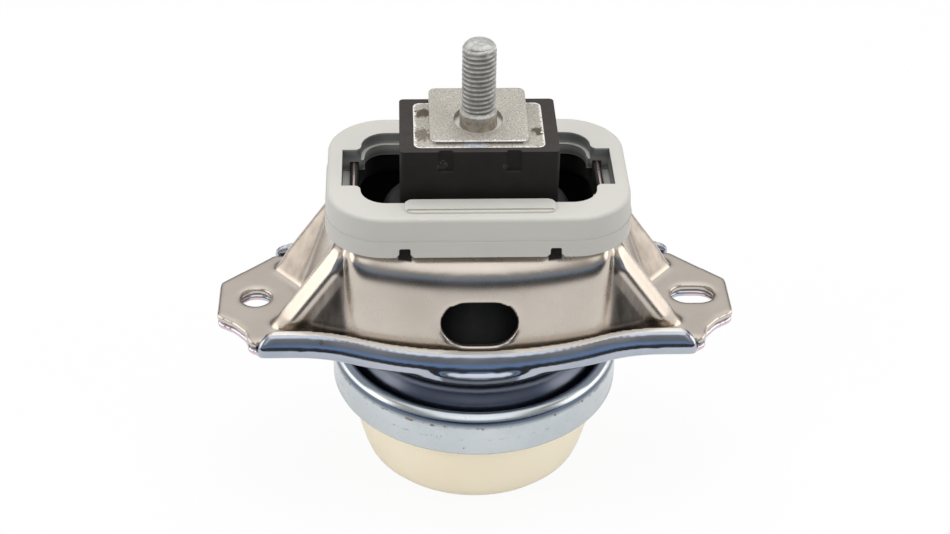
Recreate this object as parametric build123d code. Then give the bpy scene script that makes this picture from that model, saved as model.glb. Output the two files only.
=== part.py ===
from build123d import *
from math import atan, cos, hypot, radians, tan
import os

# Hydraulic engine mount, standing on its bowl.
# Origin: middle of the bowl's flat base, under the stud. X runs along the wings, Y to the back, Z up.
# All sizes in millimetres.

# Stud
STUD_RADIUS = 6.0
STUD_TIP_Z = 171.4
STUD_TIP_RADIUS = 3.75
STUD_CHAMFER_HEIGHT = 2.8
STUD_THREAD_START_Z = 145.2
STUD_CHAMFER_RADIUS = 5.85
SHANK_RADIUS = 6.6
SHANK_BEVEL = 0.9
STUD_ROOT_RADIUS = 6.2
STUD_ROOT_DEPTH = 24.0
STUD_COLLAR_RADIUS = 7.4
STUD_COLLAR_HEIGHT = 2.0

# Core
SEAT_WIDTH = 34.4
SEAT_FRONT_Y = -13.2
SEAT_AXIS_Z = 140.8
SEAT_SLOPE = 0.105
SEAT_CORNER_RADIUS = 2.6
RECESS_RADIUS = 8.65
RECESS_FLOOR_Z = 138.9
SHOULDER_WIDTH = 45.6
SHOULDER_DEPTH = 31.4
SHOULDER_THICKNESS = 7.0
SHOULDER_CORNER_RADIUS = 2.5
CORE_STEM_WIDTH = 38.0
CORE_STEM_DEPTH = 24.0
CORE_STEM_CORNER = 5.0
CORE_FOOT_TOP_Z = 93.0
CORE_FOOT_TOP_RADIUS = 16.5
CORE_FOOT_END_Z = 61.0
CORE_FOOT_END_RADIUS = 9.5
CORE_FOOT_ROUND = 3.0
CORE_PLATE_WIDTH = 58.0
CORE_PLATE_DEPTH = 36.0
CORE_PLATE_THICKNESS = 5.0
CORE_PLATE_TOP_Z = 102.5
CORE_PLATE_CORNER = 14.0

# Stop buffer
BUFFER_WIDTH = 55.4
BUFFER_DEPTH = 37.4
BUFFER_TOP_Z = 138.4
BUFFER_BOTTOM_Z = 107.0
BUFFER_CORNER_RADIUS = 1.6
BUFFER_NOTCH_X = 11.8
BUFFER_NOTCH_WIDTH = 5.2
BUFFER_NOTCH_DEPTH = 1.3
BUFFER_NOTCH_HEIGHT = 8.2

# Rebound stop
REBOUND_WIDTH = 68.0
REBOUND_DEPTH = 46.0
REBOUND_CORNER = 21.0
REBOUND_BOTTOM_Z = 94.5
REBOUND_TOP_ROUND = 5.0

# Collar
COLLAR_TOP_Z = 121.3
COLLAR_BOTTOM_Z = 106.2
COLLAR_PARTING_Z = 112.4
COLLAR_PAST_NECK_SIDE = 8.3
COLLAR_PAST_NECK_FRONT = 6.8
COLLAR_CORNER_RADIUS = 21.0
COLLAR_DRAFT = 3.0
COLLAR_BAND_PROUD = 0.35
COLLAR_TOP_ROUND = 1.0
LIP_OVER_NECK_SIDE = 4.0
LIP_OVER_NECK_FRONT = 4.4
WINDOW_CORNER_RADIUS = 9.0
LIP_TOP_Z = 117.0
LIP_BOTTOM_Z = 112.9
LIP_PROUD = 1.2
SIDE_NOTCH_PAST_NECK = 2.7
SIDE_NOTCH_LENGTH = 24.6
SIDE_NOTCH_FLOOR_Z = 112.4
BAR_LENGTH = 52.6
BAR_OVERHANG = 1.5
BAR_SETBACK = 4.1
BAR_CORNER_RADIUS = 3.0
BAR_RISE = 0.9
BAR_GROOVE_WIDTH = 1.0
BAR_GROOVE_DEPTH = 0.6
BAR_GROOVE_EDGE = 0.9
CLIP_NOTCH_X = 26.2
CLIP_NOTCH_WIDTH = 4.0
CLIP_NOTCH_HEIGHT = 3.6
CLIP_NOTCH_MOUTH = 1.2

# Housing
SHEET = 3.0
WING_TOP_Z = 65.85
BARREL_SIDE_STEP = 1.5
BARREL_FRONT_STEP = 10.7
BARREL_BOW = 9.2
BARREL_CORNER_RADIUS = 7.0
BARREL_SHOULDER_RADIUS = 7.0
BARREL_TOP_Z = 105.9
NECK_WIDTH = 91.0
NECK_DEPTH = 57.0
NECK_CORNER_RADIUS = 16.0
NECK_TOP_Z = 116.0
NECK_PLAY = 0.15
SIDE_WALL_TOP_STEP = 4.0
SIDE_WALL_TOP_Z = 101.0
SIDE_WALL_SPREAD = 13.5
SIDE_WALL_HALF_DEPTH = 18.0
RIB_TOP_STEP = 3.7
RIB_TOP_Z = 100.5
RIB_SPREAD = 24.3
RIB_OUTER_Y = 21.8
RIB_CREST_WIDTH = 4.8
RIB_ROOT_DEPTH = 3.0
RIB_ROOT_STEP = 1.0
RIB_FLANK_X = 10.4
RIB_FLANK_Y = 12.4
RIB_OUTER_ROUND = 5.0
RIB_INNER_ROUND = 2.0
OVAL_WIDTH = 27.0
OVAL_HEIGHT = 18.5
OVAL_Z = 79.5

# Wings, shared by the two sheets
CORNER_NEAR = 1.0
WING_TIP_PAST_HOLE = 13.8
WING_TIP_FRONT_Y = -11.6
WING_TIP_BACK_Y = 9.6
WING_BACK_SHORT = 4.1
WING_BACK_Y = 26.6
EAR_PAST_HOLE = 1.3
EAR_Y = -27.6
EAR_NECK_PAST_HOLE = 2.9
EAR_NECK_Y = -21.6
EAR_BEND_PAST_HOLE = 7.5
EAR_BEND_Y = -16.0
WING_CORNER_RADIUS = 3.0
HOLE_PAST_RIB = 6.1
HOLE_RADIUS = 5.5
SLOT_LENGTH = 15.9

# Lower plate
HEM_PAST_BARREL = 7.0
HEM_BOW = 13.0
HEM_TURN_STEP = -1.0
HEM_TURN_LENGTH = 20.0
HEM_END_SHORT = 2.1
HEM_END_ROUND = 7.0
HEM_LEAN = 14.0
HEM_TOP_Z = 70.2
HEM_BACK_FALL_LENGTH = 13.0
HEM_BACK_FALL_Z = 65.4
HEM_BEND_RADIUS = 3.6
HEM_EAR_STEP = 2.0
HEM_PLAY = 0.6
NECK_STEP_WIDTH = 2.4
NECK_BEND_RADIUS = 3.5
NECK_STEP_Z = 53.6
NECK_FLARE_WIDTH = 4.1
NECK_FLARE_Z = 49.2

# Crimp ring
RING_RADIUS = 53.1
RING_SHEET = 2.2
RING_BOTTOM_Z = 32.1
RING_BEAD_TOP_Z = 49.4
RING_BEAD_RADIUS = 3.2
RING_BEAD_WIDTH = 4.2
RING_FOOT_ROUND = 1.6
RING_LIP_WIDTH = 4.5
RING_LIP_TOP_Z = 47.4
RING_FOOT_WIDTH = 4.1

# Stack of rims that the ring holds, from the top down
RIM_RADIUS_PLAY = 0.2
SLEEVE_SHEET = 2.0
GASKET_THICKNESS = 0.8
UPPER_RIM = 1.2
LOWER_RIM = 1.2
DIAPHRAGM_RIM = 1.0

# Spring
SLEEVE_PLAY = 0.1
SLEEVE_TOP_Z = 61.0
SPRING_TOP_Z = 91.0
SPRING_TOP_SKIN = 2.5
SPRING_SHOULDER_INSET = 12.1
SPRING_SHOULDER_Z = 73.0
SPRING_WAIST_INSET = 6.6
SPRING_WAIST_Z = 62.5
SPRING_EDGE_Z = 58.0
SPRING_ARCH_Z = 61.0
SPRING_ARCH_INSET = 16.1
SPRING_KNEE_INSET = 6.1
SPRING_KNEE_Z = 50.0
SPRING_FOOT_INSET = 4.5
SPRING_FOOT_Z = 43.6
SPRING_SKIN = 1.5

# Channel plates
CHANNEL_PLAY = 0.3
CHANNEL_BOTTOM_Z = 27.0
CHANNEL_DEPTH = 7.5
CHANNEL_WIDTH = 11.8
CHANNEL_WALL = 2.5
CHANNEL_ANGLE = 325.0
CHANNEL_PORT_RADIUS = 3.2
UPPER_BOSS_INSET = 5.8
UPPER_BOSS_RISE = 2.4
MEMBRANE_RADIUS = 22.0
MEMBRANE_THICKNESS = 3.0
MEMBRANE_PLAY = 0.3
PORT_COUNT = 8
PORT_CIRCLE = 13.0
PORT_RADIUS = 3.0

# Diaphragm
DIAPHRAGM_SKIN = 1.6
DIAPHRAGM_INSET = 4.8
DIAPHRAGM_FOLD_INSET = 17.9
DIAPHRAGM_LOW_INSET = 9.9
DIAPHRAGM_BEND_INSET = 3.3
DIAPHRAGM_BEND_Z = 16.0
DIAPHRAGM_COLLAR = 7.0
DIAPHRAGM_LOW_Z = 8.0
DIAPHRAGM_HIGH_Z = 20.0
DIAPHRAGM_CROWN_RADIUS = 16.0
DIAPHRAGM_RING_WIDTH = 1.2
DIAPHRAGM_RING_HEIGHT = 5.0

# Bowl
BOWL_TAPER = 8.3
BOWL_RIM_WIDTH = 2.0
BOWL_WALL = 2.2
BOWL_EDGE_RADIUS = 8.0
BOWL_INNER_EDGE = 5.8
BOWL_VENT_RADIUS = 2.0

# Places that follow from the sizes above
COLLAR_WIDTH = NECK_WIDTH + 2 * COLLAR_PAST_NECK_SIDE
COLLAR_DEPTH = NECK_DEPTH + 2 * COLLAR_PAST_NECK_FRONT
WINDOW_WIDTH = NECK_WIDTH - 2 * LIP_OVER_NECK_SIDE
WINDOW_DEPTH = NECK_DEPTH - 2 * LIP_OVER_NECK_FRONT
SIDE_NOTCH_REACH = NECK_WIDTH / 2 + SIDE_NOTCH_PAST_NECK
BAR_BACK_Y = BAR_OVERHANG - WINDOW_DEPTH / 2
BAR_FRONT_Y = BAR_SETBACK - COLLAR_DEPTH / 2
BARREL_HALF_WIDTH = NECK_WIDTH / 2 + BARREL_SIDE_STEP
BARREL_FRONT_Y = NECK_DEPTH / 2 + BARREL_FRONT_STEP
BARREL_CORNER_Y = BARREL_FRONT_Y - BARREL_BOW
SIDE_WALL_TOP_X = BARREL_HALF_WIDTH + SIDE_WALL_TOP_STEP
SIDE_WALL_FOOT_X = SIDE_WALL_TOP_X + SIDE_WALL_SPREAD
RIB_TOP_X = BARREL_HALF_WIDTH + RIB_TOP_STEP
RIB_FOOT_X = RIB_TOP_X + RIB_SPREAD
HOLE_X = RIB_FOOT_X + HOLE_PAST_RIB
WING_TIP_X = HOLE_X + WING_TIP_PAST_HOLE
WING_BACK_X = HOLE_X - WING_BACK_SHORT
EAR_X = HOLE_X + EAR_PAST_HOLE
EAR_NECK_X = HOLE_X + EAR_NECK_PAST_HOLE
EAR_BEND_X = HOLE_X + EAR_BEND_PAST_HOLE
HEM_FRONT_Y = BARREL_FRONT_Y + HEM_PAST_BARREL
HEM_SIDE_Y = HEM_FRONT_Y - HEM_BOW
HEM_TURN_X = BARREL_HALF_WIDTH + HEM_TURN_STEP
HEM_STRAIGHT_X = HEM_TURN_X + HEM_TURN_LENGTH
HEM_END_X = HOLE_X - HEM_END_SHORT
HEM_BACK_FALL_X = HEM_END_X - HEM_BACK_FALL_LENGTH
HEM_EAR_Y = EAR_Y - HEM_EAR_STEP
WING_MID_Z = WING_TOP_Z - SHEET
PLATE_BOTTOM_Z = WING_MID_Z - SHEET
RIM_RADIUS = RING_RADIUS - RING_SHEET - RIM_RADIUS_PLAY
RING_LIP_RADIUS = RING_RADIUS - RING_LIP_WIDTH
RING_FOOT_RADIUS = RING_RADIUS - RING_FOOT_WIDTH
NECK_FLARE_RADIUS = RIM_RADIUS - NECK_FLARE_WIDTH
NECK_WALL_RADIUS = NECK_FLARE_RADIUS - NECK_STEP_WIDTH
BOWL_TOP_RADIUS = RIM_RADIUS - BOWL_RIM_WIDTH
BOWL_BASE_RADIUS = BOWL_TOP_RADIUS - BOWL_TAPER
DIAPHRAGM_RADIUS = BOWL_TOP_RADIUS - DIAPHRAGM_INSET
DIAPHRAGM_BEND_RADIUS = DIAPHRAGM_RADIUS - DIAPHRAGM_BEND_INSET
DIAPHRAGM_LOW_RADIUS = DIAPHRAGM_RADIUS - DIAPHRAGM_LOW_INSET
DIAPHRAGM_FOLD_RADIUS = DIAPHRAGM_RADIUS - DIAPHRAGM_FOLD_INSET
PLATE_RIM_TOP_Z = RING_LIP_TOP_Z - RING_SHEET
SLEEVE_RIM_TOP_Z = PLATE_RIM_TOP_Z - SHEET
GASKET_TOP_Z = SLEEVE_RIM_TOP_Z - SLEEVE_SHEET
UPPER_RIM_TOP_Z = GASKET_TOP_Z - GASKET_THICKNESS
LOWER_RIM_TOP_Z = UPPER_RIM_TOP_Z - UPPER_RIM
DIAPHRAGM_RIM_TOP_Z = LOWER_RIM_TOP_Z - LOWER_RIM
BOWL_TOP_Z = DIAPHRAGM_RIM_TOP_Z - DIAPHRAGM_RIM
BOWL_RIM_BOTTOM_Z = RING_BOTTOM_Z + RING_SHEET
SLEEVE_RADIUS = NECK_WALL_RADIUS - SHEET - SLEEVE_PLAY
SPRING_SHOULDER_RADIUS = SLEEVE_RADIUS - SPRING_SHOULDER_INSET
SPRING_WAIST_RADIUS = SLEEVE_RADIUS - SPRING_WAIST_INSET
SPRING_ARCH_RADIUS = SLEEVE_RADIUS - SPRING_ARCH_INSET
SPRING_KNEE_RADIUS = SLEEVE_RADIUS - SPRING_KNEE_INSET
SPRING_FOOT_RADIUS = SLEEVE_RADIUS - SPRING_FOOT_INSET
CHANNEL_RADIUS = SLEEVE_RADIUS - CHANNEL_PLAY
CHANNEL_INNER_RADIUS = CHANNEL_RADIUS - CHANNEL_WIDTH
UPPER_BOSS_RADIUS = CHANNEL_RADIUS - UPPER_BOSS_INSET
SEAT_BACK_Y = BUFFER_DEPTH / 2


def face_of(points):
    """A flat face with straight edges through points of a plane."""
    return make_face(Polyline(*points, close=True))


def turned(points):
    """A ring or disc: the profile (radius, height) turned round the upright axis."""
    return revolve(Plane.XZ * face_of(points), Axis.Z)


def across(points, half_depth):
    """A prism along Y from a profile (x, z)."""
    return extrude(Plane.XZ * face_of(points), half_depth, both=True)


def upright(sketch, bottom_z, top_z, taper=0):
    """A prism or tapered block on a plan shape."""
    return extrude(Pos(0, 0, bottom_z) * sketch, top_z - bottom_z, taper=taper)


def both_sides(half):
    """A half and its mirror image, left and right."""
    return half + mirror(half, Plane.YZ)


def make_stud():
    root_z = STUD_THREAD_START_Z - SHANK_BEVEL - STUD_ROOT_DEPTH
    chamfer_z = STUD_TIP_Z - STUD_CHAMFER_HEIGHT
    collar_z = RECESS_FLOOR_Z - STUD_COLLAR_HEIGHT
    return turned([
        (0, root_z),
        (STUD_ROOT_RADIUS, root_z),
        (STUD_ROOT_RADIUS, collar_z),
        (STUD_COLLAR_RADIUS, collar_z),
        (STUD_COLLAR_RADIUS, RECESS_FLOOR_Z),
        (SHANK_RADIUS, RECESS_FLOOR_Z),
        (SHANK_RADIUS, STUD_THREAD_START_Z - SHANK_BEVEL),
        (STUD_RADIUS, STUD_THREAD_START_Z),
        (STUD_RADIUS, chamfer_z),
        (STUD_CHAMFER_RADIUS, chamfer_z),
        (STUD_TIP_RADIUS, STUD_TIP_Z),
        (0, STUD_TIP_Z),
    ])


def core_form():
    """Sloping seat, flush shoulders, stem through the buffer and conical foot in the spring."""
    seat_top_z = SEAT_AXIS_Z + SEAT_SLOPE * SEAT_BACK_Y
    seat_front_z = SEAT_AXIS_Z + SEAT_SLOPE * SEAT_FRONT_Y
    seat_depth = SEAT_BACK_Y - SEAT_FRONT_Y
    seat_middle_y = (SEAT_BACK_Y + SEAT_FRONT_Y) / 2
    seat_plan = Pos(0, seat_middle_y) * RectangleRounded(SEAT_WIDTH, seat_depth, SEAT_CORNER_RADIUS)
    seat = upright(seat_plan, BUFFER_TOP_Z - SHOULDER_THICKNESS, seat_top_z)
    slope = face_of([
        (SEAT_FRONT_Y, seat_front_z),
        (SEAT_BACK_Y, seat_top_z),
        (SEAT_FRONT_Y, seat_top_z),
    ])
    seat -= extrude(Plane.YZ * slope, SEAT_WIDTH, both=True)
    shoulder_plan = RectangleRounded(SHOULDER_WIDTH, SHOULDER_DEPTH, SHOULDER_CORNER_RADIUS)
    shoulders = upright(shoulder_plan, BUFFER_TOP_Z - SHOULDER_THICKNESS, BUFFER_TOP_Z)
    stem_plan = RectangleRounded(CORE_STEM_WIDTH, CORE_STEM_DEPTH, CORE_STEM_CORNER)
    stem = upright(stem_plan, CORE_FOOT_TOP_Z, BUFFER_TOP_Z)
    plate_plan = RectangleRounded(CORE_PLATE_WIDTH, CORE_PLATE_DEPTH, CORE_PLATE_CORNER)
    plate = upright(plate_plan, CORE_PLATE_TOP_Z - CORE_PLATE_THICKNESS, CORE_PLATE_TOP_Z)
    foot = turned([
        (0, CORE_FOOT_END_Z),
        (CORE_FOOT_END_RADIUS, CORE_FOOT_END_Z),
        (CORE_FOOT_TOP_RADIUS, CORE_FOOT_TOP_Z),
        (0, CORE_FOOT_TOP_Z),
    ])
    foot = fillet(foot.edges().group_by(Axis.Z)[0], CORE_FOOT_ROUND)
    core = seat + shoulders + stem + plate + foot
    recess = Cylinder(RECESS_RADIUS, seat_top_z, align=(Align.CENTER, Align.CENTER, Align.MIN))
    return core - Pos(0, 0, RECESS_FLOOR_Z) * recess


def make_core():
    return core_form() - make_stud()


def make_stop_buffer():
    plan = RectangleRounded(BUFFER_WIDTH, BUFFER_DEPTH, BUFFER_CORNER_RADIUS)
    block = upright(plan, BUFFER_BOTTOM_Z, BUFFER_TOP_Z)
    for side in (-1, 1):
        notch = Box(BUFFER_NOTCH_WIDTH, 2 * BUFFER_NOTCH_DEPTH, 2 * BUFFER_NOTCH_HEIGHT)
        block -= Pos(side * BUFFER_NOTCH_X, -BUFFER_DEPTH / 2, BUFFER_TOP_Z) * notch
    return block - core_form()


def make_rebound_stop():
    """Wide rubber pad over the core's plate, larger than the neck's inner lip."""
    plan = RectangleRounded(REBOUND_WIDTH, REBOUND_DEPTH, REBOUND_CORNER)
    pad = upright(plan, REBOUND_BOTTOM_Z, BUFFER_BOTTOM_Z)
    pad = fillet(pad.edges().group_by(Axis.Z)[-1], REBOUND_TOP_ROUND)
    return pad - core_form()


def window_plan(inset):
    width = WINDOW_WIDTH - 2 * inset
    depth = WINDOW_DEPTH - 2 * inset
    return RectangleRounded(width, depth, WINDOW_CORNER_RADIUS - inset)


def neck_plan(inset):
    radius = NECK_CORNER_RADIUS - inset
    return RectangleRounded(NECK_WIDTH - 2 * inset, NECK_DEPTH - 2 * inset, radius)


def make_limiter_collar():
    """Collar clipped over the housing's neck, stepped window, raised bar on the front rim."""
    plan = RectangleRounded(COLLAR_WIDTH, COLLAR_DEPTH, COLLAR_CORNER_RADIUS)
    upper = upright(plan, COLLAR_PARTING_Z, COLLAR_TOP_Z, COLLAR_DRAFT)
    upper = fillet(upper.edges().group_by(Axis.Z)[-1], COLLAR_TOP_ROUND)
    band = upright(offset(plan, COLLAR_BAND_PROUD), COLLAR_BOTTOM_Z, COLLAR_PARTING_Z)
    collar = upper + band
    collar -= upright(window_plan(0), LIP_TOP_Z, COLLAR_TOP_Z)
    collar -= upright(window_plan(LIP_PROUD), LIP_BOTTOM_Z, LIP_TOP_Z)
    skirt_plan = neck_plan(-NECK_PLAY)
    collar -= upright(skirt_plan, COLLAR_BOTTOM_Z, LIP_BOTTOM_Z)
    groove_plan = skirt_plan - neck_plan(SHEET + NECK_PLAY)
    collar -= upright(groove_plan, LIP_BOTTOM_Z, NECK_TOP_Z + NECK_PLAY)
    notch = Box(2 * SIDE_NOTCH_REACH, SIDE_NOTCH_LENGTH, COLLAR_TOP_Z - SIDE_NOTCH_FLOOR_Z)
    collar -= Pos(0, 0, (COLLAR_TOP_Z + SIDE_NOTCH_FLOOR_Z) / 2) * notch
    bar_plan = RectangleRounded(BAR_LENGTH, BAR_BACK_Y - BAR_FRONT_Y, BAR_CORNER_RADIUS)
    bar_y = (BAR_BACK_Y + BAR_FRONT_Y) / 2
    collar += upright(Pos(0, bar_y) * bar_plan, LIP_TOP_Z, COLLAR_TOP_Z + BAR_RISE)
    groove = Box(BAR_LENGTH - 2 * BAR_GROOVE_EDGE, BAR_GROOVE_WIDTH, 2 * BAR_GROOVE_DEPTH)
    groove_y = BAR_FRONT_Y + BAR_GROOVE_EDGE + BAR_GROOVE_WIDTH / 2
    collar -= Pos(0, groove_y, COLLAR_TOP_Z + BAR_RISE) * groove
    for side in (-1, 1):
        half = CLIP_NOTCH_WIDTH / 2
        slit = across([
            (-half - CLIP_NOTCH_MOUTH, COLLAR_BOTTOM_Z),
            (half + CLIP_NOTCH_MOUTH, COLLAR_BOTTOM_Z),
            (half, COLLAR_BOTTOM_Z + CLIP_NOTCH_MOUTH),
            (half, COLLAR_BOTTOM_Z + CLIP_NOTCH_HEIGHT),
            (-half, COLLAR_BOTTOM_Z + CLIP_NOTCH_HEIGHT),
            (-half, COLLAR_BOTTOM_Z + CLIP_NOTCH_MOUTH),
        ], COLLAR_DEPTH)
        collar -= Pos(side * CLIP_NOTCH_X, 0, 0) * slit
    return collar


def barrel_plan():
    """Housing barrel from above: straight sides, bowed front and back."""
    half = BARREL_HALF_WIDTH
    front_left = (-half, -BARREL_CORNER_Y)
    front_right = (half, -BARREL_CORNER_Y)
    back_left = (-half, BARREL_CORNER_Y)
    back_right = (half, BARREL_CORNER_Y)
    front = ThreePointArc(front_left, (0, -BARREL_FRONT_Y), front_right)
    right = Line(front_right, back_right)
    back = ThreePointArc(back_right, (0, BARREL_FRONT_Y), back_left)
    left = Line(back_left, front_left)
    plan = make_face([front, right, back, left])
    return fillet(plan.vertices(), BARREL_CORNER_RADIUS)


def rib_form(inset):
    """Front right gusset: a round-tipped wedge in plan, drawn up along its sloping crest."""
    crest_y = RIB_OUTER_Y - RIB_CREST_WIDTH
    root_y = BARREL_CORNER_Y + RIB_ROOT_STEP
    plan = face_of([
        (0, -root_y),
        (BARREL_HALF_WIDTH - RIB_ROOT_DEPTH, -root_y),
        (RIB_FOOT_X, -RIB_OUTER_Y),
        (RIB_FOOT_X, -crest_y),
        (RIB_FOOT_X - RIB_FLANK_X, RIB_FLANK_Y - crest_y),
        (0, RIB_FLANK_Y - crest_y),
    ])
    tips = [v for v in plan.vertices() if v.X > RIB_FOOT_X - CORNER_NEAR]
    outer_tip = min(tips, key=lambda v: v.Y)
    plan = fillet(outer_tip, RIB_OUTER_ROUND)
    tips = [v for v in plan.vertices() if v.X > RIB_FOOT_X - CORNER_NEAR]
    inner_tip = max(tips, key=lambda v: v.Y)
    plan = fillet(inner_tip, RIB_INNER_ROUND)
    if inset:
        plan = offset(plan, -inset)
    rise = RIB_TOP_Z - WING_TOP_Z
    slope = (RIB_TOP_X - RIB_FOOT_X) / rise
    low = Pos(-SHEET * slope, 0, WING_MID_Z) * plan
    height = RIB_TOP_Z - inset - WING_MID_Z
    return extrude(low, height * hypot(1, slope), dir=(slope, 0, 1))


def body_form(inset):
    """Barrel, side walls and gusset ribs as one full form, drawn in by a sheet thickness."""
    plan = offset(barrel_plan(), -inset) if inset else barrel_plan()
    barrel = upright(plan, WING_MID_Z, BARREL_TOP_Z - inset)
    barrel = fillet(barrel.edges().group_by(Axis.Z)[-1], BARREL_SHOULDER_RADIUS - inset)
    wall_angle = atan((SIDE_WALL_FOOT_X - SIDE_WALL_TOP_X) / (SIDE_WALL_TOP_Z - WING_TOP_Z))
    wall_inset = inset / cos(wall_angle)
    wall_slope = tan(wall_angle)
    wall_low_x = SIDE_WALL_FOOT_X + SHEET * wall_slope - wall_inset
    wall_top_z = SIDE_WALL_TOP_Z - inset
    wall_top_x = SIDE_WALL_TOP_X + inset * wall_slope - wall_inset
    side_walls = across([
        (-wall_low_x, WING_MID_Z),
        (wall_low_x, WING_MID_Z),
        (wall_top_x, wall_top_z),
        (-wall_top_x, wall_top_z),
    ], SIDE_WALL_HALF_DEPTH - inset)
    ribs = both_sides(rib_form(inset))
    return barrel + side_walls + ribs + mirror(ribs, Plane.XZ)


def hem_points():
    """Front hem's outer line on the right half: bulge, turning point and straight end."""
    turn_y = -HEM_FRONT_Y + (HEM_FRONT_Y - HEM_SIDE_Y) * HEM_TURN_X / HEM_STRAIGHT_X
    return (0, -HEM_FRONT_Y), (HEM_TURN_X, turn_y), (HEM_STRAIGHT_X, -HEM_SIDE_Y)


def hem_curves():
    """Front and back hem lines on the right half, each a bulge and a run-out to the straight end."""
    middle, turn, straight = hem_points()
    bulge = TangentArc(middle, turn, tangent=(1, 0))
    run_out = TangentArc(straight, turn, tangent=(-1, 0))
    return [bulge, run_out, mirror(bulge, Plane.XZ), mirror(run_out, Plane.XZ)]


def hem_plan():
    """Plate outline with the hem lines run straight on past the wings."""
    end_x = WING_TIP_X + SHEET
    front = Line((HEM_STRAIGHT_X, -HEM_SIDE_Y), (end_x, -HEM_SIDE_Y))
    end = Line((end_x, -HEM_SIDE_Y), (end_x, HEM_SIDE_Y))
    back = Line((end_x, HEM_SIDE_Y), (HEM_STRAIGHT_X, HEM_SIDE_Y))
    seam = Line((0, HEM_FRONT_Y), (0, -HEM_FRONT_Y))
    return both_sides(make_face([*hem_curves(), front, end, back, seam]))


def hem_inner_plan():
    """Inner faces of the leaning hems where they leave the plate."""
    drawn_in = SHEET / cos(radians(HEM_LEAN)) + SHEET * tan(radians(HEM_LEAN))
    return offset(hem_plan(), -drawn_in, kind=Kind.INTERSECTION)


def wing_plan():
    """Outline that both sheets share: bowed hems front and back, a wing at each side."""
    front = Line((HEM_STRAIGHT_X, -HEM_SIDE_Y), (HEM_END_X, -HEM_SIDE_Y))
    wing_points = [
        (HEM_END_X, -HEM_SIDE_Y),
        (HEM_END_X, HEM_EAR_Y),
        (EAR_X, EAR_Y),
        (EAR_NECK_X, EAR_NECK_Y),
        (EAR_BEND_X, EAR_BEND_Y),
        (WING_TIP_X, WING_TIP_FRONT_Y),
        (WING_TIP_X, WING_TIP_BACK_Y),
        (WING_BACK_X, WING_BACK_Y),
    ]
    wing = Polyline(*wing_points)
    back_start = (HEM_END_X - (HEM_SIDE_Y - WING_BACK_Y), HEM_SIDE_Y)
    corner = Line((WING_BACK_X, WING_BACK_Y), back_start)
    back = Line(back_start, (HEM_STRAIGHT_X, HEM_SIDE_Y))
    seam = Line((0, HEM_FRONT_Y), (0, -HEM_FRONT_Y))
    half = make_face([*hem_curves(), front, wing, corner, back, seam])
    rounded = [v for v in half.vertices() if v.X > HEM_END_X + CORNER_NEAR]
    half = fillet(rounded, WING_CORNER_RADIUS)
    return both_sides(half)


def bolt_holes(bottom_z, top_z):
    """Round hole in the left wing, slot in the right wing."""
    hole = Pos(-HOLE_X, 0) * Circle(HOLE_RADIUS)
    slot = Pos(HOLE_X, 0) * SlotOverall(SLOT_LENGTH, 2 * HOLE_RADIUS)
    return upright(hole + slot, bottom_z, top_z)


def make_upper_housing():
    """Pressed housing: barrel, neck, gusset ribs, windows and two wings."""
    plan = wing_plan()
    lean_play = HEM_PLAY + SHEET * tan(radians(HEM_LEAN))
    inner = plan & offset(hem_inner_plan(), -lean_play, kind=Kind.INTERSECTION)
    ends = Pos(HEM_END_X + HEM_PLAY + WING_TIP_X, 0) * Rectangle(2 * WING_TIP_X, 2 * HEM_FRONT_Y)
    flange_plan = inner + both_sides(plan & ends)
    flange = upright(flange_plan, WING_MID_Z, WING_TOP_Z)
    neck = upright(neck_plan(0), BARREL_TOP_Z - BARREL_SHOULDER_RADIUS, NECK_TOP_Z)
    housing = flange + body_form(0) + neck
    housing -= body_form(SHEET)
    housing -= upright(neck_plan(SHEET), WING_TOP_Z, NECK_TOP_Z)
    oval = SlotOverall(OVAL_WIDTH, OVAL_HEIGHT)
    housing -= Pos(0, 0, OVAL_Z) * extrude(Plane.XZ * oval, HEM_FRONT_Y, both=True)
    return housing - bolt_holes(WING_MID_Z, WING_TOP_Z)


def hem_edges(tray):
    """Lower edges of a tray along its front and back hems."""
    low = tray.edges().group_by(Axis.Z)[0]
    return low.filter_by(lambda edge: abs(edge.center().X) < WING_TIP_X - SHEET)


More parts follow.
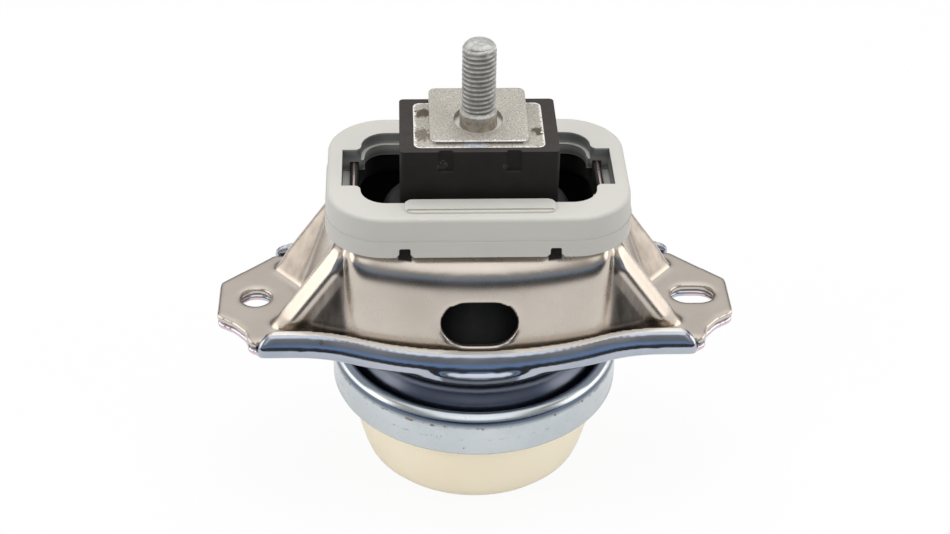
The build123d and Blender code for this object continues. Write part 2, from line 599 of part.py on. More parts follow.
def make_lower_plate():
    """Plate under the wings, hems turned up front and back, drawn and stepped neck."""
    tray = upright(hem_plan(), PLATE_BOTTOM_Z, HEM_TOP_Z, HEM_LEAN)
    tray = fillet(hem_edges(tray), HEM_BEND_RADIUS)
    tray = tray & upright(wing_plan(), PLATE_BOTTOM_Z, HEM_TOP_Z)
    hollow = upright(hem_inner_plan(), WING_MID_Z, HEM_TOP_Z, HEM_LEAN)
    tray -= fillet(hem_edges(hollow), HEM_BEND_RADIUS - SHEET)
    floor = upright(Rectangle(2 * WING_TIP_X + SHEET, 2 * HEM_FRONT_Y), PLATE_BOTTOM_Z, WING_MID_Z)
    hems = RectangleRounded(2 * HEM_END_X, 2 * (HEM_TOP_Z - PLATE_BOTTOM_Z), HEM_END_ROUND)
    hems = extrude(Plane.XZ * Pos(0, PLATE_BOTTOM_Z) * hems, HEM_FRONT_Y, both=True)
    tray = tray & (hems + floor)
    fall = across([
        (HEM_BACK_FALL_X, HEM_TOP_Z),
        (HEM_END_X, HEM_BACK_FALL_Z),
        (HEM_END_X, HEM_TOP_Z),
    ], HEM_FRONT_Y)
    tray -= Pos(0, HEM_FRONT_Y, 0) * both_sides(fall)
    flare_in = NECK_FLARE_RADIUS - SHEET
    neck = turned([
        (NECK_WALL_RADIUS - SHEET, WING_MID_Z),
        (NECK_WALL_RADIUS + NECK_BEND_RADIUS, WING_MID_Z),
        (NECK_WALL_RADIUS + NECK_BEND_RADIUS, PLATE_BOTTOM_Z),
        (NECK_WALL_RADIUS, PLATE_BOTTOM_Z - NECK_BEND_RADIUS),
        (NECK_WALL_RADIUS, NECK_STEP_Z),
        (NECK_FLARE_RADIUS, NECK_FLARE_Z),
        (NECK_FLARE_RADIUS, PLATE_RIM_TOP_Z),
        (RIM_RADIUS, PLATE_RIM_TOP_Z),
        (RIM_RADIUS, SLEEVE_RIM_TOP_Z),
        (NECK_WALL_RADIUS - SHEET, SLEEVE_RIM_TOP_Z),
    ])
    opening = Cylinder(NECK_WALL_RADIUS - SHEET, HEM_TOP_Z, align=(Align.CENTER, Align.CENTER, Align.MIN))
    plate = tray + neck - opening
    return plate - bolt_holes(PLATE_BOTTOM_Z, WING_MID_Z)


def make_crimp_ring():
    """Rolled ring: inward foot under the bowl's rim, plain band, bead and lip on the plate's rim."""
    inner = RING_RADIUS - RING_SHEET
    profile = face_of([
        (RING_FOOT_RADIUS, RING_BOTTOM_Z),
        (RING_RADIUS, RING_BOTTOM_Z),
        (RING_RADIUS, RING_BEAD_TOP_Z),
        (RING_RADIUS - RING_BEAD_WIDTH, RING_BEAD_TOP_Z),
        (RING_LIP_RADIUS, RING_LIP_TOP_Z),
        (RING_LIP_RADIUS, PLATE_RIM_TOP_Z),
        (inner, PLATE_RIM_TOP_Z),
        (inner, BOWL_RIM_BOTTOM_Z),
        (RING_FOOT_RADIUS, BOWL_RIM_BOTTOM_Z),
    ])
    outer = profile.vertices().filter_by(lambda vertex: vertex.X > inner + RING_SHEET / 2)
    low, high = outer.sort_by(Axis.Y)
    profile = fillet(low, RING_FOOT_ROUND)
    high = profile.vertices().sort_by(lambda vertex: vertex.X + vertex.Y)[-1]
    profile = fillet(high, RING_BEAD_RADIUS)
    return revolve(Plane.XZ * profile, Axis.Z)


def make_bowl():
    """Tapered bowl with a rim, rounded lower edge and a breather hole in its base."""
    outer = turned([
        (0, 0),
        (BOWL_BASE_RADIUS, 0),
        (BOWL_TOP_RADIUS, BOWL_RIM_BOTTOM_Z),
        (RIM_RADIUS, BOWL_RIM_BOTTOM_Z),
        (RIM_RADIUS, BOWL_TOP_Z),
        (0, BOWL_TOP_Z),
    ])
    outer = fillet(outer.edges().group_by(Axis.Z)[0], BOWL_EDGE_RADIUS)
    inner = turned([
        (0, BOWL_WALL),
        (BOWL_BASE_RADIUS - BOWL_WALL, BOWL_WALL),
        (BOWL_TOP_RADIUS - BOWL_WALL, BOWL_TOP_Z),
        (0, BOWL_TOP_Z),
    ])
    inner = fillet(inner.edges().group_by(Axis.Z)[0], BOWL_INNER_EDGE)
    return outer - inner - Cylinder(BOWL_VENT_RADIUS, 4 * BOWL_WALL)


def make_spring_sleeve():
    inner = SLEEVE_RADIUS - SLEEVE_SHEET
    return turned([
        (inner, GASKET_TOP_Z),
        (RIM_RADIUS, GASKET_TOP_Z),
        (RIM_RADIUS, SLEEVE_RIM_TOP_Z),
        (SLEEVE_RADIUS, SLEEVE_RIM_TOP_Z),
        (SLEEVE_RADIUS, SLEEVE_TOP_Z),
        (inner, SLEEVE_TOP_Z),
    ])


def make_main_spring():
    """Rubber cone between the core's foot and the sleeve, hollow underneath."""
    inner = SLEEVE_RADIUS - SLEEVE_SHEET
    cone = turned([
        (0, CORE_FOOT_END_Z - SPRING_SKIN),
        (CORE_FOOT_END_RADIUS + SPRING_SKIN, CORE_FOOT_END_Z - SPRING_SKIN),
        (SPRING_ARCH_RADIUS, SPRING_ARCH_Z),
        (SPRING_KNEE_RADIUS, SPRING_KNEE_Z),
        (SPRING_FOOT_RADIUS, SPRING_FOOT_Z),
        (inner, SPRING_FOOT_Z),
        (inner, SPRING_EDGE_Z),
        (SPRING_WAIST_RADIUS, SPRING_WAIST_Z),
        (SPRING_SHOULDER_RADIUS, SPRING_SHOULDER_Z),
        (CORE_FOOT_TOP_RADIUS + SPRING_TOP_SKIN, SPRING_TOP_Z),
        (0, SPRING_TOP_Z),
    ])
    return cone - core_form()


def make_flange_gasket():
    inner = SLEEVE_RADIUS - SLEEVE_SHEET
    return turned([
        (inner, UPPER_RIM_TOP_Z),
        (RIM_RADIUS, UPPER_RIM_TOP_Z),
        (RIM_RADIUS, GASKET_TOP_Z),
        (inner, GASKET_TOP_Z),
    ])


def membrane_ports(bottom_z, top_z):
    ports = Circle(PORT_RADIUS) + PolarLocations(PORT_CIRCLE, PORT_COUNT) * Circle(PORT_RADIUS)
    return upright(ports, bottom_z, top_z)


def membrane_pocket():
    height = MEMBRANE_THICKNESS + MEMBRANE_PLAY
    return Pos(0, 0, LOWER_RIM_TOP_Z) * Cylinder(MEMBRANE_RADIUS + MEMBRANE_PLAY, height)


def channel_port(angle):
    radius = (CHANNEL_INNER_RADIUS + CHANNEL_RADIUS - CHANNEL_WALL) / 2
    port = Pos(radius, 0, LOWER_RIM_TOP_Z) * Cylinder(CHANNEL_PORT_RADIUS, 4 * CHANNEL_DEPTH)
    return Rot(0, 0, angle) * port


def make_channel_upper():
    """Upper plate over the damping channel, with ports over the membrane and one inlet."""
    rim = upright(Circle(RIM_RADIUS), LOWER_RIM_TOP_Z, UPPER_RIM_TOP_Z)
    boss = upright(Circle(UPPER_BOSS_RADIUS), LOWER_RIM_TOP_Z, UPPER_RIM_TOP_Z + UPPER_BOSS_RISE)
    plate = rim + boss - membrane_pocket()
    plate -= membrane_ports(LOWER_RIM_TOP_Z, UPPER_RIM_TOP_Z + UPPER_BOSS_RISE)
    return plate - channel_port(0)


def make_channel_lower():
    """Lower plate with the open ring channel, membrane seat, ports and one outlet."""
    rim = upright(Circle(RIM_RADIUS), DIAPHRAGM_RIM_TOP_Z, LOWER_RIM_TOP_Z)
    body = upright(Circle(CHANNEL_RADIUS), CHANNEL_BOTTOM_Z, LOWER_RIM_TOP_Z)
    plate = rim + body - membrane_pocket()
    plate -= membrane_ports(CHANNEL_BOTTOM_Z, LOWER_RIM_TOP_Z)
    floor_z = LOWER_RIM_TOP_Z - CHANNEL_DEPTH
    section = face_of([
        (CHANNEL_INNER_RADIUS, floor_z),
        (CHANNEL_RADIUS - CHANNEL_WALL, floor_z),
        (CHANNEL_RADIUS - CHANNEL_WALL, LOWER_RIM_TOP_Z),
        (CHANNEL_INNER_RADIUS, LOWER_RIM_TOP_Z),
    ])
    plate -= revolve(Plane.XZ * section, Axis.Z, CHANNEL_ANGLE)
    outlet = channel_port(CHANNEL_ANGLE) & upright(Circle(CHANNEL_RADIUS), CHANNEL_BOTTOM_Z, floor_z)
    return plate - outlet


def make_decoupler_membrane():
    return Pos(0, 0, LOWER_RIM_TOP_Z) * Cylinder(MEMBRANE_RADIUS, MEMBRANE_THICKNESS)


def make_diaphragm():
    """Rolling rubber diaphragm: clamped rim, deep fold and raised crown."""
    inner = DIAPHRAGM_RADIUS - DIAPHRAGM_SKIN
    collar_z = DIAPHRAGM_RIM_TOP_Z - DIAPHRAGM_COLLAR
    low_top_z = DIAPHRAGM_LOW_Z + DIAPHRAGM_SKIN
    high_top_z = DIAPHRAGM_HIGH_Z + DIAPHRAGM_SKIN
    return turned([
        (0, DIAPHRAGM_HIGH_Z),
        (DIAPHRAGM_CROWN_RADIUS, DIAPHRAGM_HIGH_Z),
        (DIAPHRAGM_FOLD_RADIUS, DIAPHRAGM_LOW_Z),
        (DIAPHRAGM_LOW_RADIUS, DIAPHRAGM_LOW_Z),
        (DIAPHRAGM_BEND_RADIUS, DIAPHRAGM_BEND_Z),
        (DIAPHRAGM_RADIUS, collar_z),
        (DIAPHRAGM_RADIUS, BOWL_TOP_Z),
        (RIM_RADIUS, BOWL_TOP_Z),
        (RIM_RADIUS, DIAPHRAGM_RIM_TOP_Z),
        (inner, DIAPHRAGM_RIM_TOP_Z),
        (inner, collar_z),
        (DIAPHRAGM_BEND_RADIUS - DIAPHRAGM_SKIN, DIAPHRAGM_BEND_Z),
        (DIAPHRAGM_LOW_RADIUS - DIAPHRAGM_SKIN / 2, low_top_z),
        (DIAPHRAGM_FOLD_RADIUS, low_top_z),
        (DIAPHRAGM_CROWN_RADIUS, high_top_z),
        (0, high_top_z),
    ])


def make_diaphragm_ring():
    outer = DIAPHRAGM_RADIUS - DIAPHRAGM_SKIN
    inner = outer - DIAPHRAGM_RING_WIDTH
    low_z = DIAPHRAGM_RIM_TOP_Z - DIAPHRAGM_RING_HEIGHT
    return turned([
        (inner, low_z),
        (outer, low_z),
        (outer, DIAPHRAGM_RIM_TOP_Z),
        (inner, DIAPHRAGM_RIM_TOP_Z),
    ])


PIECES = {
    "stud": make_stud,
    "core": make_core,
    "stop_buffer": make_stop_buffer,
    "rebound_stop": make_rebound_stop,
    "limiter_collar": make_limiter_collar,
    "upper_housing": make_upper_housing,
    "lower_plate": make_lower_plate,
    "crimp_ring": make_crimp_ring,
    "bowl": make_bowl,
    "main_spring": make_main_spring,
    "spring_sleeve": make_spring_sleeve,
    "flange_gasket": make_flange_gasket,
    "channel_upper": make_channel_upper,
    "channel_lower": make_channel_lower,
    "decoupler_membrane": make_decoupler_membrane,
    "diaphragm": make_diaphragm,
    "diaphragm_ring": make_diaphragm_ring,
}

os.makedirs("parts", exist_ok=True)
for name, make in PIECES.items():
    piece = make()
    export_step(piece, f"parts/{name}.step")
    print(name, len(piece.solids()), round(piece.volume / 1000, 2), piece.is_valid)
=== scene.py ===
import math

import bmesh
import bpy
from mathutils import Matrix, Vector


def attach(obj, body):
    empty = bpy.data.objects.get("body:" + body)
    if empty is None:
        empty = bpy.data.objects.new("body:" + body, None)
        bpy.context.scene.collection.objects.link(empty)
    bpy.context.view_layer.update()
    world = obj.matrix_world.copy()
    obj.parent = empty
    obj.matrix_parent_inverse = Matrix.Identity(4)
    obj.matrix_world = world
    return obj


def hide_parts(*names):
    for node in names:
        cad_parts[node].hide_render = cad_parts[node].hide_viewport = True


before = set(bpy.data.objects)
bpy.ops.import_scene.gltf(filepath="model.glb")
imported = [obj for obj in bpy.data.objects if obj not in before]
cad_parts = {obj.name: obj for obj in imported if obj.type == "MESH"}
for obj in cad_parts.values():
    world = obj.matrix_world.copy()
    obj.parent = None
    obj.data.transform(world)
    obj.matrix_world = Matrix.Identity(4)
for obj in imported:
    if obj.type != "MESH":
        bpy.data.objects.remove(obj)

# Hydraulic engine mount in a small photo studio.
# Sizes are in millimetres and turned to metres by MM; the frame is the one of the loaded model.
MM = 0.001

# The core: a raised sloping seat with a recess, between two low flush ledges
SEAT_WIDTH, SEAT_DEPTH, SEAT_CORNER = 34.4, 31.9, 2.6
SEAT_MIDDLE_Y = 2.75
SEAT_HEIGHT = 140.8
SEAT_SLOPE = 0.105
RECESS_FLOOR = 138.9
LEDGE_WIDTH, LEDGE_DEPTH, LEDGE_CORNER = 45.6, 31.4, 2.5
LEDGE_TOP = 138.4
BLOCK_WIDTH, BLOCK_DEPTH = 55.4, 37.4
# The collar: an upper rim over a slightly wider lower band, with two clip notches front and back
COLLAR_WIDTH, COLLAR_DEPTH, COLLAR_CORNER = 107.6, 70.6, 21
COLLAR_BOTTOM, COLLAR_STEP, COLLAR_TOP = 106.2, 112.4, 121.3
NOTCH_WIDTH, NOTCH_DEPTH = 96.4, 24.6
CLIP_OFFSET = 26.2
# The housing: a rib's crest starts at this point under the collar and runs down and outward
RIB_TOP_X, RIB_TOP_Z = 49.2, 100.5
RIB_SLOPE = 0.704
SHOULDER_RADIUS = 11.5
SHOULDER_DEPTH = 2.2
SEAM_HEIGHT = 62.85

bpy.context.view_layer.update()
scene = bpy.context.scene
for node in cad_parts.values():
    node.select_set(False)


# Modelling helpers


def deselect():
    if bpy.context.object and bpy.context.object.mode != "OBJECT":
        bpy.ops.object.mode_set(mode="OBJECT")
    bpy.ops.object.select_all(action="DESELECT")


def take(piece):
    """Makes one piece the active and only selected object."""
    deselect()
    piece.select_set(True)
    bpy.context.view_layer.objects.active = piece


def settle(piece):
    """Puts the object's origin at the frame's origin, unturned and unscaled."""
    take(piece)
    bpy.ops.object.transform_apply(location=True, rotation=True, scale=True)
    return piece


def edit(piece, kind="FACE"):
    take(piece)
    bpy.ops.object.mode_set(mode="EDIT")
    bpy.ops.mesh.select_mode(type=kind)
    bpy.ops.mesh.select_all(action="DESELECT")
    return bmesh.from_edit_mesh(piece.data)


def faces_where(piece, test):
    """Edit mode with those faces selected whose middle (in mm) and normal pass the test."""
    shape = edit(piece, "FACE")
    for face in shape.faces:
        face.select_set(bool(test(face.calc_center_median() / MM, face.normal)))
    bmesh.update_edit_mesh(piece.data)


def edges_where(piece, test):
    """Edit mode with those edges selected whose two ends (in mm) pass the test."""
    shape = edit(piece, "EDGE")
    for line in shape.edges:
        start, end = (v.co / MM for v in line.verts)
        line.select_set(bool(test(start, end)))
    bmesh.update_edit_mesh(piece.data)


def points_where(piece, test):
    shape = edit(piece, "VERT")
    for point in shape.verts:
        point.select_set(bool(test(point.co / MM)))
    shape.select_flush(True)
    bmesh.update_edit_mesh(piece.data)


def round_edges(piece, radius, segments, test):
    edges_where(piece, test)
    bpy.ops.mesh.bevel(offset=radius * MM, segments=segments, profile=0.5, affect="EDGES")
    bpy.ops.object.mode_set(mode="OBJECT")


def upright_corner(start, end):
    return abs(start.x - end.x) < 0.01 and abs(start.y - end.y) < 0.01


def block(name, size, middle, corner=0, segments=8):
    """A box by size and middle, its four upright edges rounded."""
    bpy.ops.mesh.primitive_cube_add(size=1, location=Vector(middle) * MM)
    piece = bpy.context.object
    piece.name = name
    piece.scale = Vector(size) * MM
    settle(piece)
    if corner:
        round_edges(piece, corner, segments, upright_corner)
    return piece


def drum(name, radius, low_z, high_z, sides=64):
    height = high_z - low_z
    middle = Vector((0, 0, (low_z + high_z) / 2))
    bpy.ops.mesh.primitive_cylinder_add(vertices=sides, radius=radius * MM, depth=height * MM,
                                        location=middle * MM)
    piece = bpy.context.object
    piece.name = name
    return settle(piece)


def face_outward(piece):
    edit(piece, "FACE")
    bpy.ops.mesh.select_all(action="SELECT")
    bpy.ops.mesh.normals_make_consistent(inside=False)
    bpy.ops.object.mode_set(mode="OBJECT")


def slice_across(piece, height, slope=0, **ends):
    """Cuts the faces at a height on the stud's axis, level or rising to the back."""
    edit(piece, "FACE")
    bpy.ops.mesh.select_all(action="SELECT")
    bpy.ops.mesh.bisect(plane_co=(0, 0, height * MM), plane_no=(0, -slope, 1), **ends)
    bpy.ops.object.mode_set(mode="OBJECT")


def draw_in(piece, ratio, test, centre=(0, 0, 0)):
    """Scales the points that pass the test towards a centre (in mm)."""
    points_where(piece, test)
    bpy.ops.transform.resize(value=ratio, center_override=tuple(Vector(centre) * MM))
    bpy.ops.object.mode_set(mode="OBJECT")


def turned(name, outline, sides=128, closed=False):
    """Lathe work: a circle drawn out step by step along an outline of (radius, height)."""
    radius, height = outline[0]
    bpy.ops.mesh.primitive_circle_add(vertices=sides, radius=radius * MM,
                                      location=(0, 0, height * MM))
    piece = settle(bpy.context.object)
    piece.name = name
    edit(piece, "EDGE")
    bpy.ops.mesh.select_all(action="SELECT")
    for next_radius, next_height in outline[1:]:
        rise = (next_height - height) * MM
        bpy.ops.mesh.extrude_region_move(TRANSFORM_OT_translate={"value": (0, 0, rise)})
        ratio = next_radius / radius
        bpy.ops.transform.resize(value=(ratio, ratio, 1), center_override=(0, 0, 0))
        radius, height = next_radius, next_height
    bpy.ops.mesh.select_all(action="SELECT")
    bpy.ops.mesh.remove_doubles(threshold=0.002 * MM)
    if not closed:
        bpy.ops.mesh.select_all(action="DESELECT")
        bpy.ops.mesh.select_non_manifold()
        bpy.ops.mesh.fill_holes(sides=0)
    face_outward(piece)
    return piece


def combine(piece, other, operation):
    """Adds, cuts away or keeps the common part of another body, which is used up."""
    take(piece)
    step = piece.modifiers.new("combine", "BOOLEAN")
    step.operation = operation
    step.solver = "EXACT"
    step.object = other
    bpy.ops.object.modifier_apply(modifier=step.name)
    bpy.data.objects.remove(other)
    return piece


def cut(piece, *cutters):
    for cutter in cutters:
        combine(piece, cutter, "DIFFERENCE")
    return piece


def weld(piece, *others):
    for other in others:
        combine(piece, other, "UNION")
    return piece


def twin(piece):
    """A copy with its own mesh, mirrored to the other side of the mount."""
    take(piece)
    bpy.ops.object.duplicate()
    copy = bpy.context.object
    copy.scale = (-1, 1, 1)
    settle(copy)
    face_outward(copy)
    return copy


def soften(piece, width, segments=2, angle=35):
    """Rounds the sharp edges that are left, and shades what is smooth as smooth."""
    take(piece)
    step = piece.modifiers.new("soften", "BEVEL")
    step.width = width * MM
    step.segments = segments
    step.limit_method = "ANGLE"
    step.angle_limit = math.radians(angle)
    step.use_clamp_overlap = True
    step.harden_normals = False
    bpy.ops.object.modifier_apply(modifier=step.name)
    bpy.ops.object.shade_smooth_by_angle(angle=math.radians(angle))
    return piece


def places(piece, name, share):
    """A vertex group whose weights follow the place (in mm) and the normal of each point."""
    group = piece.vertex_groups.new(name=name)
    for point in piece.data.vertices:
        weight = share(point.co / MM, point.normal)
        if weight > 0:
            group.add([point.index], min(weight, 1), "REPLACE")
    return group.name


def relax(piece, passes, share=None):
    """Smooths the piece, everywhere or only as far as the share by place says."""
    take(piece)
    step = piece.modifiers.new("relax", "SMOOTH")
    step.factor = 0.5
    step.iterations = passes
    if share:
        step.vertex_group = places(piece, "relaxed", share)
    bpy.ops.object.modifier_apply(modifier=step.name)


def swell(piece, depth, share):
    """Pushes the skin outward, as far as the share by place says."""
    take(piece)
    step = piece.modifiers.new("swell", "DISPLACE")
    step.mid_level = 0
    step.strength = depth * MM
    step.vertex_group = places(piece, "swollen", share)
    bpy.ops.object.modifier_apply(modifier=step.name)


def pressed_copy(name, node, grain, passes):
    """A merged copy of a construction node with the soft edges that sheet gets in the press."""
    take(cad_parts[node])
    bpy.ops.object.duplicate()
    piece = bpy.context.object
    piece.name = name
    for key in list(piece.keys()):
        if key.startswith("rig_"):
            del piece[key]
    piece.parent = None
    edit(piece, "VERT")
    bpy.ops.mesh.select_all(action="SELECT")
    bpy.ops.mesh.remove_doubles(threshold=0.005 * MM)
    bpy.ops.object.mode_set(mode="OBJECT")
    skin = piece.modifiers.new("skin", "REMESH")
    skin.mode = "VOXEL"
    skin.voxel_size = grain * MM
    skin.use_smooth_shade = True
    bpy.ops.object.modifier_apply(modifier=skin.name)
    relax(piece, passes)
    return piece


def finished(piece, finish, slot_name, *nodes):
    """Gives a piece its finish and its place on the body, and hides what it stands for."""
    piece.data.materials.clear()
    piece.data.materials.append(finish)
    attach(piece, "root")
    if nodes:
        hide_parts(*nodes)
    return piece


# Materials

# Between these two values lies most of a noise
NOISE_LOW, NOISE_HIGH = 0.3, 0.7


class Wiring:
    """Adds nodes to a node tree and links them."""

    def __init__(self, tree):
        self.nodes = tree.nodes
        self.links = tree.links

    def span(self, value, low, high, to_low=0.0, to_high=1.0):
        node = self.nodes.new("ShaderNodeMapRange")
        node.inputs["From Min"].default_value = low
        node.inputs["From Max"].default_value = high
        node.inputs["To Min"].default_value = to_low
        node.inputs["To Max"].default_value = to_high
        self.links.new(value, node.inputs["Value"])
        return node.outputs["Result"]

    def size(self, value):
        return self.both("ABSOLUTE", value, 0)

    def all_of(self, *shares):
        result = shares[0]
        for share in shares[1:]:
            result = self.both("MULTIPLY", result, share)
        return result

    def any_of(self, *shares):
        result = shares[0]
        for share in shares[1:]:
            result = self.both("MAXIMUM", result, share)
        return result

    def both(self, operation, first, second):
        node = self.nodes.new("ShaderNodeMath")
        node.operation = operation
        for socket, value in zip(node.inputs, (first, second)):
            if isinstance(value, (int, float)):
                socket.default_value = value
            else:
                self.links.new(value, socket)
        return node.outputs["Value"]

    def blend(self, factor, low, high):
        """A mix of two colours, each a colour or another socket."""
        node = self.nodes.new("ShaderNodeMix")
        node.data_type = "RGBA"
        self.links.new(factor, node.inputs["Factor"])
        for socket, value in ((node.inputs[6], low), (node.inputs[7], high)):
            if isinstance(value, tuple):
                socket.default_value = (*value, 1)
            else:
                self.links.new(value, socket)
        return node.outputs[2]


class Finish(Wiring):
    """A small builder for node materials on object coordinates."""

    def __init__(self, name):
        self.material = bpy.data.materials.new(name)
        self.material.use_nodes = True
        super().__init__(self.material.node_tree)
        self.shader = self.nodes["Principled BSDF"]
        self.place = self.nodes.new("ShaderNodeTexCoord").outputs["Object"]

    def set(self, **values):
        for key, value in values.items():
            self.shader.inputs[key.replace("_", " ")].default_value = value
        return self

    def stretched(self, x, y, z):
        node = self.nodes.new("ShaderNodeMapping")
        node.inputs["Scale"].default_value = (x, y, z)
        self.links.new(self.place, node.inputs["Vector"])
        return node.outputs["Vector"]

    def noise(self, scale, detail=4, rough=0.55, place=None, distortion=0):
        node = self.nodes.new("ShaderNodeTexNoise")
        node.inputs["Scale"].default_value = scale
        node.inputs["Detail"].default_value = detail
        node.inputs["Roughness"].default_value = rough
        node.inputs["Distortion"].default_value = distortion
        self.links.new(place or self.place, node.inputs["Vector"])
        return node.outputs["Fac"]

    def mottled(self, cloud, dark, light):
        """Two colours mixed by a noise."""
        return self.blend(self.span(cloud, NOISE_LOW, NOISE_HIGH), dark, light)

    def wandering(self, scale, detail, low, high):
        """A value that wanders between two others."""
        return self.span(self.noise(scale, detail), NOISE_LOW, NOISE_HIGH, low, high)

    def rise(self, value, low, high):
        """0 to 1 as a length grows from low to high (in mm)."""
        return self.span(value, low * MM, high * MM)

    def fall(self, value, low, high):
        """1 to 0 as a length grows from low to high (in mm)."""
        return self.span(value, low * MM, high * MM, 1, 0)

    def above(self, low, high):
        return self.rise(self.axis("Z"), low, high)

    def below(self, low, high):
        return self.fall(self.axis("Z"), low, high)

    def axis(self, name):
        node = self.nodes.new("ShaderNodeSeparateXYZ")
        self.links.new(self.place, node.inputs["Vector"])
        return node.outputs[name]

    def facing(self, name):
        """A component of the surface normal."""
        around = self.nodes.new("ShaderNodeNewGeometry")
        node = self.nodes.new("ShaderNodeSeparateXYZ")
        self.links.new(around.outputs["Normal"], node.inputs["Vector"])
        return node.outputs[name]

    def beside(self, name, middle, half, soft):
        """1 near a middle along an axis, falling to 0 over a soft width (all in mm)."""
        away = self.size(self.both("SUBTRACT", self.axis(name), middle * MM))
        return self.fall(away, half, half + soft)

    def patch(self, middle, radius, ragged=0.0, scale=900):
        """1 inside a round patch (in mm) whose border a noise makes ragged, 0 outside."""
        node = self.nodes.new("ShaderNodeVectorMath")
        node.operation = "DISTANCE"
        node.inputs[1].default_value = Vector(middle) * MM
        self.links.new(self.place, node.inputs[0])
        away = node.outputs["Value"]
        if ragged:
            away = self.both("ADD", away, self.wandering(scale, 4, -ragged * MM, ragged * MM))
        return self.fall(away, 0.7 * radius, radius)

    def past_outline(self, width, depth, corner):
        """Distance in metres past a rounded rectangle in plan, less than 0 inside it."""
        straight = Vector((width / 2 - corner, depth / 2 - corner, 0)) * MM
        steps = (("MULTIPLY", (1, 1, 0)), ("ABSOLUTE", (0, 0, 0)),
                 ("SUBTRACT", straight), ("MAXIMUM", (0, 0, 0)))
        value = self.place
        for operation, other in steps:
            node = self.nodes.new("ShaderNodeVectorMath")
            node.operation = operation
            self.links.new(value, node.inputs[0])
            node.inputs[1].default_value = other
            value = node.outputs["Vector"]
        node = self.nodes.new("ShaderNodeVectorMath")
        node.operation = "LENGTH"
        self.links.new(value, node.inputs[0])
        return self.both("SUBTRACT", node.outputs["Value"], corner * MM)

    def colour(self, socket):
        self.links.new(socket, self.shader.inputs["Base Color"])
        return self

    def rough(self, socket):
        self.links.new(socket, self.shader.inputs["Roughness"])
        return self

    def shine(self, socket):
        self.links.new(socket, self.shader.inputs["Metallic"])
        return self

    def bump(self, socket, distance, strength=1.0):
        """Adds relief of that depth in mm; relief that is there already stays under it."""
        node = self.nodes.new("ShaderNodeBump")
        node.inputs["Strength"].default_value = strength
        node.inputs["Distance"].default_value = distance * MM
        self.links.new(socket, node.inputs["Height"])
        normal = self.shader.inputs["Normal"]
        if normal.is_linked:
            self.links.new(normal.links[0].from_socket, node.inputs["Normal"])
        self.links.new(node.outputs["Normal"], normal)
        return self


def housing_finish():
    """Pressed steel with a warm nickel tint, satin; painted shade inside and under the collar."""
    steel = Finish("satin_nickel_steel")
    cloud = steel.noise(38, 3)
    tint = steel.mottled(cloud, (0.57, 0.51, 0.45), (0.63, 0.57, 0.51))
    x, y = steel.axis("X"), steel.axis("Y")
    across, along = steel.size(x), steel.size(y)
    toward = steel.both("MULTIPLY", y, steel.facing("Y"))
    outward = steel.both("ADD", steel.both("MULTIPLY", x, steel.facing("X")), toward)

    # Painted shade: the barrel's inner side, what the collar covers, the joint with the lower plate
    # and the places by the clip notches are coloured near black, not metallic and rougher
    turned_in = steel.fall(outward, -4, -1)
    turned_down = steel.span(steel.facing("Z"), -0.5, -0.2, 1, 0)
    barrel = steel.all_of(steel.beside("X", 0, 46.2, 0.6), steel.above(66.4, 67.2))
    inside = steel.all_of(barrel, steel.any_of(turned_in, turned_down))
    rim = steel.all_of(steel.above(115.0, 115.6), steel.beside("X", 0, 44.2, 0.3))
    covered = steel.all_of(steel.above(106.4, 107.0), steel.both("SUBTRACT", 1, rim))
    seam_shadow = steel.all_of(steel.beside("Z", SEAM_HEIGHT, 0.35, 0.25), steel.rise(across, 60, 62),
                        steel.span(steel.facing("Z"), -0.9, -0.7))
    from_clip = steel.size(steel.both("SUBTRACT", across, CLIP_OFFSET * MM))
    by_clip = steel.all_of(steel.fall(from_clip, 2.2, 2.6), steel.beside("Y", 0, 34.4, 0.4),
                           steel.above(102.5, 103.0))
    dark = steel.any_of(inside, covered, seam_shadow, by_clip)
    tint = steel.blend(rim, tint, (0.72, 0.58, 0.55))

    # Streaky shade in the pockets beside the ribs and on the flanks between front and back ribs
    crest = steel.both("ADD", steel.both("MULTIPLY", steel.axis("Z"), RIB_SLOPE), across)
    past_rib = steel.both("SUBTRACT", (RIB_TOP_X + RIB_SLOPE * RIB_TOP_Z) * MM, crest)
    pocket = steel.all_of(steel.span(steel.size(steel.facing("Y")), 0.60, 0.74),
                          steel.rise(across, 46, 48), steel.rise(past_rib, 4.6, 5.8),
                          steel.rise(along, 21, 22.5), steel.rise(toward, 0, 4))
    flank = steel.all_of(steel.fall(toward, -4, -1.5), steel.rise(across, 49, 53),
                         steel.span(along, 5 * MM, 16 * MM, 1, 0.62))
    streaks = steel.noise(1, 4, place=steel.stretched(260, 260, 45))
    shade = steel.all_of(steel.any_of(pocket, flank), steel.span(streaks, 0.35, 0.65, 0.60, 0.88),
                         steel.above(66.5, 68.0))
    tint = steel.blend(shade, tint, (0.10, 0.085, 0.075))

    steel.colour(steel.blend(dark, tint, (0.012, 0.010, 0.009)))
    steel.shine(steel.both("SUBTRACT", 1, dark))
    satin = steel.wandering(60, 4, 0.24, 0.31)
    steel.rough(steel.both("MAXIMUM", satin, steel.both("MULTIPLY", dark, 0.6)))
    steel.bump(cloud, 0.2, 0.2)
    return steel.material


